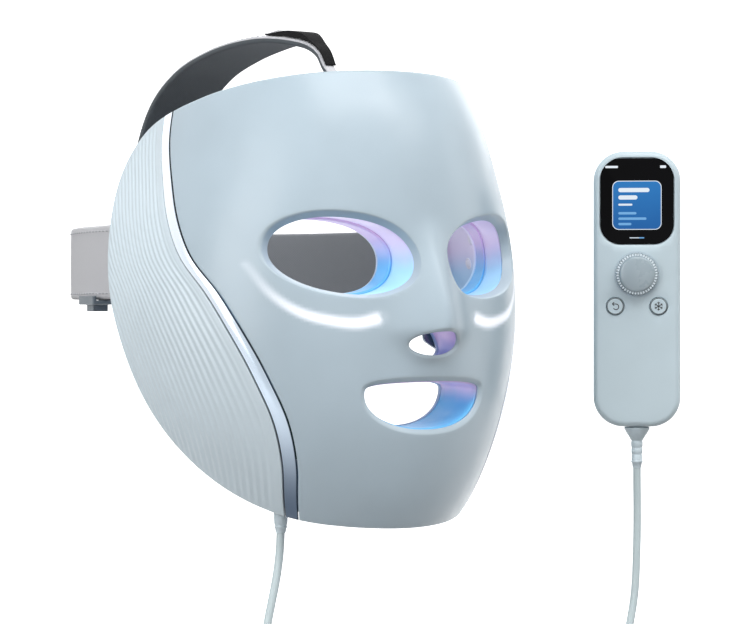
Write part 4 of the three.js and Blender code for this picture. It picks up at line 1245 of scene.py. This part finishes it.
def make_top_tab():
    """The black hook-and-loop tab that closes the crown band, with a small pull loop at its rear tip."""
    centre, out, across, wide = side_strap(CROWN_LINE[7:12], 1.2)
    t = np.linspace(0, 1, len(centre))
    thick = 0.8 + 2.4 * smooth(0, 0.4, t) * (1 - smooth(0.5, 0.75, t))
    wide = wide * (0.9 + 0.1 * smooth(0, 0.12, t))
    sections = [section(w / 2, h / 2, 0.38, 0.05) for w, h in zip(wide, thick)]
    build = Build()
    sweep(build, centre + out * (2.35 + thick / 2)[:, None], out, across, sections)
    build.finish("top_tab_fine", "hook", "top_tab", angle=60)
    pull = Build()
    path = [[36, 116.2, 9], [33, 116.9, 9], [29, 117.4, 9], [25, 117.6, 8.4]]
    centre, out, across, wide = side_strap(path, 1.0)
    sweep(pull, centre, out, across, [section(w / 2, 0.45, 0.3, 0.02) for w in wide])
    pull.finish("top_pull_loop", "band", angle=60)


make_rear_band()
make_top_band()
make_top_tab()

# ------------------------------------------------------------------ hand control

def flat_layer(p, depth=0.0):
    return np.stack([p[:, 0], np.zeros(len(p)) + depth, p[:, 1]], 1)


def back_layer(p, depth=0.0):
    """Layers counted from the hand control's back."""
    return flat_layer(p, HANDSET["thick"] - depth)


def slab(build, loop, low, high, ease=0.0):
    """A flat piece between two depths, its front edge eased."""
    loop = counter_clockwise(loop)
    turn = QUARTER * np.arange(4 if ease else 0) / 4
    rings = [(offset(loop, ease * math.sin(a) - ease), low + ease * (1 - math.cos(a))) for a in turn]
    rings += [(loop, low + ease), (loop, high)]
    rows = [build.points(flat_layer(p, depth)) for p, depth in rings]
    build.rings(rows)
    build.fill(rows[0], rings[0][0])
    build.fill(rows[-1], loop)


def glass_outline(grow=0.0, step=0.8):
    return counter_clockwise(rounded(
        GLASS["width"] + 2 * grow, GLASS["height"] + 2 * grow, GLASS["corner"] + grow, GLASS["z"], step=step,
    ))


def half_rim(layer, deep, radius, floor):
    """A cover's outer edge: rounded from its face, straight to the split line, then back up inside."""
    loop = counter_clockwise(rounded(HANDSET["width"], HANDSET["height"], HANDSET["corner"], step=0.9))
    inner = offset(loop, -HANDSET["wall"])
    turn = QUARTER * np.arange(1, 9) / 8
    rings = [(offset(loop, -radius * (1 - math.sin(a))), radius * (1 - math.cos(a))) for a in turn]
    rings += [(loop, deep - 0.2), (offset(loop, -0.2), deep), (inner, deep), (inner, floor + 0.3)]
    return offset(loop, -radius), inner, [layer(p, depth) for p, depth in rings]


def straight_hole(layer, loop, ease, floor):
    rings = [(offset(loop, 0.3 * ease), 0.3 * ease), (loop, ease), (loop, floor - 0.1)]
    return offset(loop, ease), offset(loop, 0.05), [layer(p, depth) for p, depth in rings]


def make_front_cover():
    floor = HANDSET["face"]
    glass = glass_outline(GAP)
    holes = [
        (offset(glass, 0.25), None, [flat_layer(glass, 0.25), flat_layer(glass, 1.5)]),
        straight_hole(flat_layer, circle(3.5, 0, DIAL["z"]), 0.3, floor),
    ]
    for side in (-1, 1):
        key = circle(BUTTON["radius"] + GAP, side * BUTTON["x"], BUTTON["z"])
        holes.append(straight_hole(flat_layer, key, 0.25, floor))
    build = Build(in_hand)
    shell(build, flat_layer, floor, half_rim(flat_layer, HANDSET["split"], 3.0, floor), holes, step=3.0)
    build.finish("handset_front_fine", "shell", "handset_front")


def make_back_cover():
    wall = HANDSET["wall"]
    edge = half_rim(back_layer, HANDSET["thick"] - HANDSET["split"] - GAP, 3.6, wall)
    holes = [straight_hole(back_layer, circle(2.4, 0, z), 0.3, wall) for z in (-46, 46)]
    build = Build(in_hand)
    shell(build, back_layer, wall, edge, holes, step=3.0)
    cover = build.finish("handset_back_fine", "shell", "handset_back")
    cutter = Build(in_hand)
    loop = rounded(3.9, 9.7, 1.6, -48.0, 11.4, step=0.4)
    cutter.tube([cutter.points(np.insert(loop, 0, x, axis=1)) for x in (-24.0, -19.0)])
    tool = cutter.finish("socket_cutter", "shell")
    cut = cover.modifiers.new("socket", "BOOLEAN")
    cut.operation, cut.object, cut.solver = "DIFFERENCE", tool, "EXACT"
    graph = bpy.context.evaluated_depsgraph_get()
    made = bpy.data.meshes.new_from_object(cover.evaluated_get(graph))
    cover.modifiers.clear()
    cover.data = made
    made.set_sharp_from_angle(angle=math.radians(50))
    bpy.data.objects.remove(tool)


def make_glass():
    build = Build(in_hand)
    slab(build, glass_outline(step=0.6), 0.1, 1.2, ease=0.35)
    build.finish("screen_glass_fine", "glass", "screen_glass")


def bar(width, tall, cx, cz, corner=None):
    corner = min(width, tall) * (0.48 if corner is None else corner)
    return rounded(width, tall, corner, cz, cx, step=max(0.15, min(width, tall) / 8))


def make_display():
    """The lit display under the glass: a plain page of bars and marks, with no words."""
    top, size = DISPLAY["z"] + 0.4, DISPLAY["size"] - 0.9
    edge = rounded(size, size, 3.2, top, step=0.5)
    inner_edge = rounded(size - 0.7, size - 0.7, 2.9, top, step=0.5)
    page = Build(in_hand)
    slab(page, edge, 0.075, 0.4)
    page.finish("display_page", "screen")
    left = -size / 2 + 3.0
    status, foot = GLASS["z"] + 17.2, GLASS["z"] - 18.3
    white = Build(in_hand)
    for width, tall, rise in ((15.5, 2.1, 7.6), (9.5, 2.1, 3.9), (7.0, 1.0, 0.3)):
        slab(white, bar(width, tall, left + width / 2, top + rise), 0.05, 0.3)
    slab(white, bar(6.4, 1.1, -12.6, status), 0.06, 0.3)
    slab(white, bar(3.0, 1.3, 13.0, status, 0.3), 0.06, 0.3)
    slab(white, bar(7.4, 0.45, 0, foot), 0.06, 0.3)
    border = []
    for loop, depth in ((edge, 0.3), (edge, 0.05), (inner_edge, 0.05), (inner_edge, 0.3)):
        border.append(white.points(flat_layer(even(loop, count=160, closed=True), depth)))
    white.rings(border + border[:1])
    white.finish("display_marks_white", "ui_white")
    pale = Build(in_hand)
    for width, rise in ((9.0, -4.0), (14.0, -6.7), (6.5, -9.4)):
        slab(pale, bar(width, 1.2, left + width / 2, top + rise), 0.05, 0.3)
    slab(pale, bar(2.6, 0.6, 2.4, foot), 0.045, 0.3)
    pale.finish("display_marks_blue", "ui_blue")


def turned(radius, depth, cx=0.0, cz=0.0, count=64):
    """One ring of a piece turned about the depth axis."""
    return flat_layer(circle(radius, cx, cz, count), depth)


def make_dial():
    r, top, cz, grips = DIAL["radius"], -DIAL["proud"], DIAL["z"], DIAL["grips"]
    knob = Build(in_hand)
    count = 8 * grips
    groove = np.clip(0.5 + 0.8 * np.cos(full_turn(count) * grips), 0, 1)
    profile = [
        (r - 0.5, -1.1, 0), (r, -1.5, 0.3), (r, -2.6, 0.55), (r - 0.15, -3.3, 0.55), (r - 0.7, -3.75, 0.4),
        (r - 1.5, -3.9, 0), (r - 1.85, -4.0, 0), (r - 1.95, -4.4, 0), (r - 2.0, top + 1.7, 0),
        (r - 2.12, top + 1.4, 0), (r - 2.5, top + 1.12, 0), (r - 3.4, top + 0.82, 0), (r - 5.5, top + 0.38, 0),
        (r - 8.0, top + 0.09, 0), (r - 10.2, top, 0),
    ]
    rings = [turned(radius - cut * groove, y, cz=cz, count=count) for radius, y, cut in profile]
    knob.tube([knob.points(ring) for ring in rings])
    knob.finish("dial_knob_fine", "knob", "dial_knob", body="dial")
    ticks = Build(in_hand)
    for a in 2 * math.pi * (np.arange(grips) + 0.5) / grips:
        ray = np.array([math.cos(a), math.sin(a)])
        stroke(ticks, [[0, cz] + (r - 1.75) * ray, [0, cz] + (r - 0.6) * ray], 0.66, -4.06, -3.6)
    ticks.finish("dial_ticks", "tick", body="dial")
    seat = Build(in_hand)
    profile = [
        (r - 1.0, -0.02), (r + 0.35, -0.02), (r + 0.7, -0.12), (r + 0.75, -0.3), (r + 0.3, -0.42),
        (r - 1.0, -0.42),
    ]
    rows = [seat.points(turned(radius, y, cz=cz, count=96)) for radius, y in profile]
    seat.rings(rows + rows[:1])
    seat.finish("dial_seat_ring", "rim")


def stroke(build, line, wide, low, high):
    """A thin raised line of print."""
    line = np.asarray(line, float)
    along = unit(np.gradient(line, axis=0))
    side = np.stack([-along[:, 1], along[:, 0]], 1) * wide / 2
    depth = np.array([low, low, high, high])
    corners = [np.array([p - s, p + s, p + s, p - s]) for p, s in zip(line, side)]
    rows = [build.points(flat_layer(four, depth)) for four in corners]
    build.rings(rows)
    build.faces([rows[0][::-1], rows[-1]])


def draw_arrow(ink, cx, cz, low, high):
    """A mark like an arrow that turns back."""
    a = np.linspace(math.radians(-150), math.radians(95), 30)
    arc = np.stack([cx + 0.35 + 1.4 * np.cos(a), cz - 0.3 + 1.4 * np.sin(a)], 1)
    stroke(ink, arc, 0.42, low, high)
    head = arc[-1] + [-1.7, 0.02]
    stroke(ink, [arc[-1], head], 0.42, low, high)
    stroke(ink, [arc[-1] + [-0.75, 0.9], head], 0.4, low - 0.01, high)
    stroke(ink, [arc[-1] + [-0.75, -0.86], head], 0.4, low - 0.02, high)


def draw_flake(ink, cx, cz, low, high):
    """A mark like a snowflake: three bars, each forked at both ends."""
    for k in range(3):
        a = math.pi * k / 3 + math.pi / 2
        d = np.array([math.cos(a), math.sin(a)])
        stroke(ink, [[cx, cz] - 2.2 * d, [cx, cz] + 2.2 * d], 0.36, low - 0.004 * k, high)
        for end in (-1, 1):
            fork = [cx, cz] + 1.35 * end * d
            for bend in (-50, 50):
                tine = 0.8 * end * np.array(turned_about(*d, math.radians(bend)))
                stroke(ink, [fork, fork + tine], 0.3, low - 0.02 - 0.004 * k, high)


def make_button(name, side, draw):
    cx, cz, r = side * BUTTON["x"], BUTTON["z"], BUTTON["radius"]
    key = Build(in_hand)
    profile = [
        (r + 0.9, 4.3), (r + 0.9, 3.35), (r, 3.35), (r, -0.35), (r - 0.12, -0.58), (r - 0.4, -0.7),
        (r - 1.2, -0.66), (r - 2.4, -0.6), (0.4, -0.56),
    ]
    key.tube([key.points(turned(radius, y, cx, cz)) for radius, y in profile])
    key.finish(f"{name}_fine", "shell", name, body=name)
    ink = Build(in_hand)
    low, high = -0.74, -0.5
    ring = circle(r - 0.3, cx, cz, 72)
    stroke(ink, np.vstack([ring, ring[:1]]), 0.3, low, high)
    draw(ink, cx, cz, low, high)
    ink.finish(f"{name}_mark", "print", body=name)


make_front_cover()
make_back_cover()
make_glass()
make_display()
make_dial()
make_button("back_button", -1, draw_arrow)
make_button("cool_button", 1, draw_flake)

# ------------------------------------------------------------------ strain reliefs, tie and cord

def upright(build, profile, cx, cy):
    """A piece turned about an upright axis, from (radius, height) rows."""
    build.tube([build.points(np.insert(circle(r, cx, cy, 40), 2, z, axis=1)) for r, z in profile])


def make_handset_gland():
    foot = -HANDSET["height"] / 2 - GAP
    profile = [
        (5.9, foot), (6.5, foot - 0.35), (6.35, foot - 1.0), (5.0, foot - 3.4), (3.9, foot - 5.0),
        (3.1, foot - 6.4),
    ]
    z = foot - 6.4
    for wide in (2.95, 2.83, 2.71):
        profile += [(wide - 0.16, z - 0.3), (wide - 0.16, z - 0.9), (wide, z - 1.1), (wide - 0.02, z - 3.2)]
        z -= 3.4
    profile += [(2.75, z - 0.2), (2.95, z - 0.4), (2.9, z - 1.2), (2.5, z - 1.5), (2.15, foot - 20.4)]
    build = Build(in_hand)
    upright(build, profile, 0, HANDSET["thick"] / 2)
    build.finish("handset_gland_fine", "gland", "handset_gland", angle=55)


def make_mask_gland():
    top, foot = GLAND_AT["top"], GLAND_AT["bottom"]
    profile = [
        (3.0, top), (3.5, top - 0.5), (3.6, top - 1.5), (3.3, foot + 2.6), (3.1, foot + 0.6),
        (2.85, foot + 0.3), (2.85, foot), (3.0, foot - 0.15), (2.95, foot - 1.1), (2.65, foot - 1.35),
        (2.6, foot - 2.3), (2.25, foot - 3.4),
    ]
    build = Build(hanging)
    upright(build, profile, GLAND_AT["across"], GLAND_AT["deep"])
    build.finish("mask_gland_fine", "gland", "mask_gland", angle=55)


def make_tie():
    """A soft strap round one side of the coil."""
    centre, half = np.array([COIL["across"] + 22.0, COIL["deep"]]), np.array([5.0, 7.0])
    a = full_turn(72)
    shape = np.stack([signed_power(np.cos(a), 0.5), signed_power(np.sin(a), 0.5)], 1)
    build = Build(hanging)
    rows = []
    for grow, z in ((0, -3.8), (0.75, -4.0), (0.9, -3.4), (0.9, 3.4), (0.75, 4.0), (0, 3.8)):
        rows.append(build.points(np.insert(centre + (half + grow) * shape, 2, COIL["z"] + z, axis=1)))
    build.rings(rows + rows[:1])
    return build.finish("cord_tie_fine", "hook", "cord_tie", angle=60)


make_handset_gland()
make_mask_gland()
cord_tie = make_tie()
tuple(float(v) for v in cord_exit)

# ------------------------------------------------------------------ carried-over CAD pieces

LED_BOARDS = ["led_board_forehead", "led_board_cheek_right", "led_board_cheek_left", "led_board_chin"]
GUIDES = ["light_guide_right", "light_guide_left"]
NODE_LOOKS = {
    "guide": GUIDES,
    "board": LED_BOARDS + ["driver_board", "handset_board"],
    "ceramic": ["thermoelectric_module_right", "thermoelectric_module_left"],
    "sink": ["heat_sink_right", "heat_sink_left"],
    "dark": [
        "fan_frame_right", "fan_frame_left", "fan_rotor_right", "fan_rotor_left", "strap_anchor_right",
        "strap_anchor_left", "top_anchor", "encoder_body",
    ],
    "slider": ["band_slider"],
    "battery": ["battery_cell"],
    "glass": ["display_module"],
    "steel": ["handset_screw_1", "handset_screw_2", "dial_shaft", "charge_socket"],
}
EASED = {  # the radius of the eased edges, where it is not the usual 0.25
    "strap_anchor_right": 1.0, "strap_anchor_left": 1.0, "top_anchor": 1.0, "band_slider": 0.7,
    "battery_cell": 1.2, "handset_screw_1": 0.15, "handset_screw_2": 0.15, "charge_socket": 0.15,
}
PLAIN = GUIDES + LED_BOARDS

for look, names in NODE_LOOKS.items():
    for name in names:
        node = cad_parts[name]
        node.data.materials.clear()
        node.data.materials.append(M[look])
        weld = node.modifiers.new("weld", "WELD")
        weld.merge_threshold = 0.00001
        if name not in PLAIN:
            ease = node.modifiers.new("ease", "BEVEL")
            ease.width = EASED.get(name, 0.25) * MM
            ease.segments = 3 if name in EASED else 2
            ease.limit_method = "ANGLE"
            ease.angle_limit = math.radians(40)
            ease.harden_normals = True

# ------------------------------------------------------------------ floor, backdrop and light

def make_stage():
    """A pale floor that sweeps up into a backdrop all round, out of the way of the light."""
    floor, count = -0.62, 96
    profile = [(0.01, 0), (4.0, 0), (5.0, 0.05), (6.0, 0.3), (6.8, 0.8), (7.3, 1.6), (7.5, 3.0), (7.5, 9.0)]
    verts = np.vstack([np.insert(circle(r, count=count), 2, floor + rise, axis=1) for r, rise in profile])
    faces = []
    for j in range(len(profile) - 1):
        for i in range(count):
            k = (i + 1) % count
            faces.append((j * count + i, j * count + k, (j + 1) * count + k, (j + 1) * count + i))
    faces.append(tuple(range(count)))
    mesh = bpy.data.meshes.new("floor")
    mesh.from_pydata(verts.tolist(), [], faces)
    mesh.shade_smooth()
    n = Nodes("floor_paper")
    n.put(
        Base_Color=n.mix(n.noise(300, 2), (0.86, 0.86, 0.87), (0.9, 0.9, 0.9)), Roughness=1.0,
        Specular_IOR_Level=0.0, Emission_Color=(1, 1, 1), Emission_Strength=1.15,
    )
    mesh.materials.append(n.material)
    obj = add_object("floor", mesh)
    obj.visible_diffuse = False
    obj.visible_shadow = False


def make_light(name, place, target, size, power):
    data = bpy.data.lights.new(name, "AREA")
    data.shape = "RECTANGLE"
    data.size, data.size_y = size
    data.energy = power
    light = add_object(name, data)
    aim(light, place, Vector(target) - Vector(place))
    light.visible_camera = False


def make_world():
    """A sky that is bright above and dim below, so that undersides fall away softly."""
    world = bpy.data.worlds.new("studio")
    bpy.context.scene.world = world
    world.use_nodes = True
    tree = world.node_tree
    back = tree.nodes["Background"]
    where = tree.nodes.new("ShaderNodeTexCoord").outputs["Generated"]
    split = tree.nodes.new("ShaderNodeSeparateXYZ")
    tree.links.new(where, split.inputs[0])
    ramp = tree.nodes.new("ShaderNodeMapRange")
    ramp.interpolation_type = "SMOOTHSTEP"
    for key, v in (("From Min", -0.5), ("From Max", 0.75), ("To Min", 0.08), ("To Max", 0.6)):
        ramp.inputs[key].default_value = v
    tree.links.new(split.outputs[2], ramp.inputs["Value"])
    back.inputs["Color"].default_value = (0.97, 0.99, 1.0, 1)
    tree.links.new(ramp.outputs[0], back.inputs["Strength"])


make_stage()
make_world()
make_light("key_top", (-0.2, -0.95, 1.6), (0, -0.05, 0.0), (1.6, 1.0), 23)
make_light("brow", (0.62, -1.15, 1.15), (0, -0.08, 0.06), (0.8, 0.8), 4.5)
make_light("side_left", (-1.7, -0.35, 0.35), (-0.05, 0, 0), (0.9, 1.4), 13)
make_light("fill_front", (-0.9, -1.9, 0.1), (0, 0, -0.05), (1.4, 1.4), 3)
make_light("side_right", (1.5, -0.7, 0.2), (0.15, 0, -0.02), (0.5, 1.4), 2)
make_light("back_right", (1.4, 0.9, 0.9), (0, 0.05, 0), (1.2, 1.2), 6)
bpy.context.scene.view_settings.view_transform = "Standard"
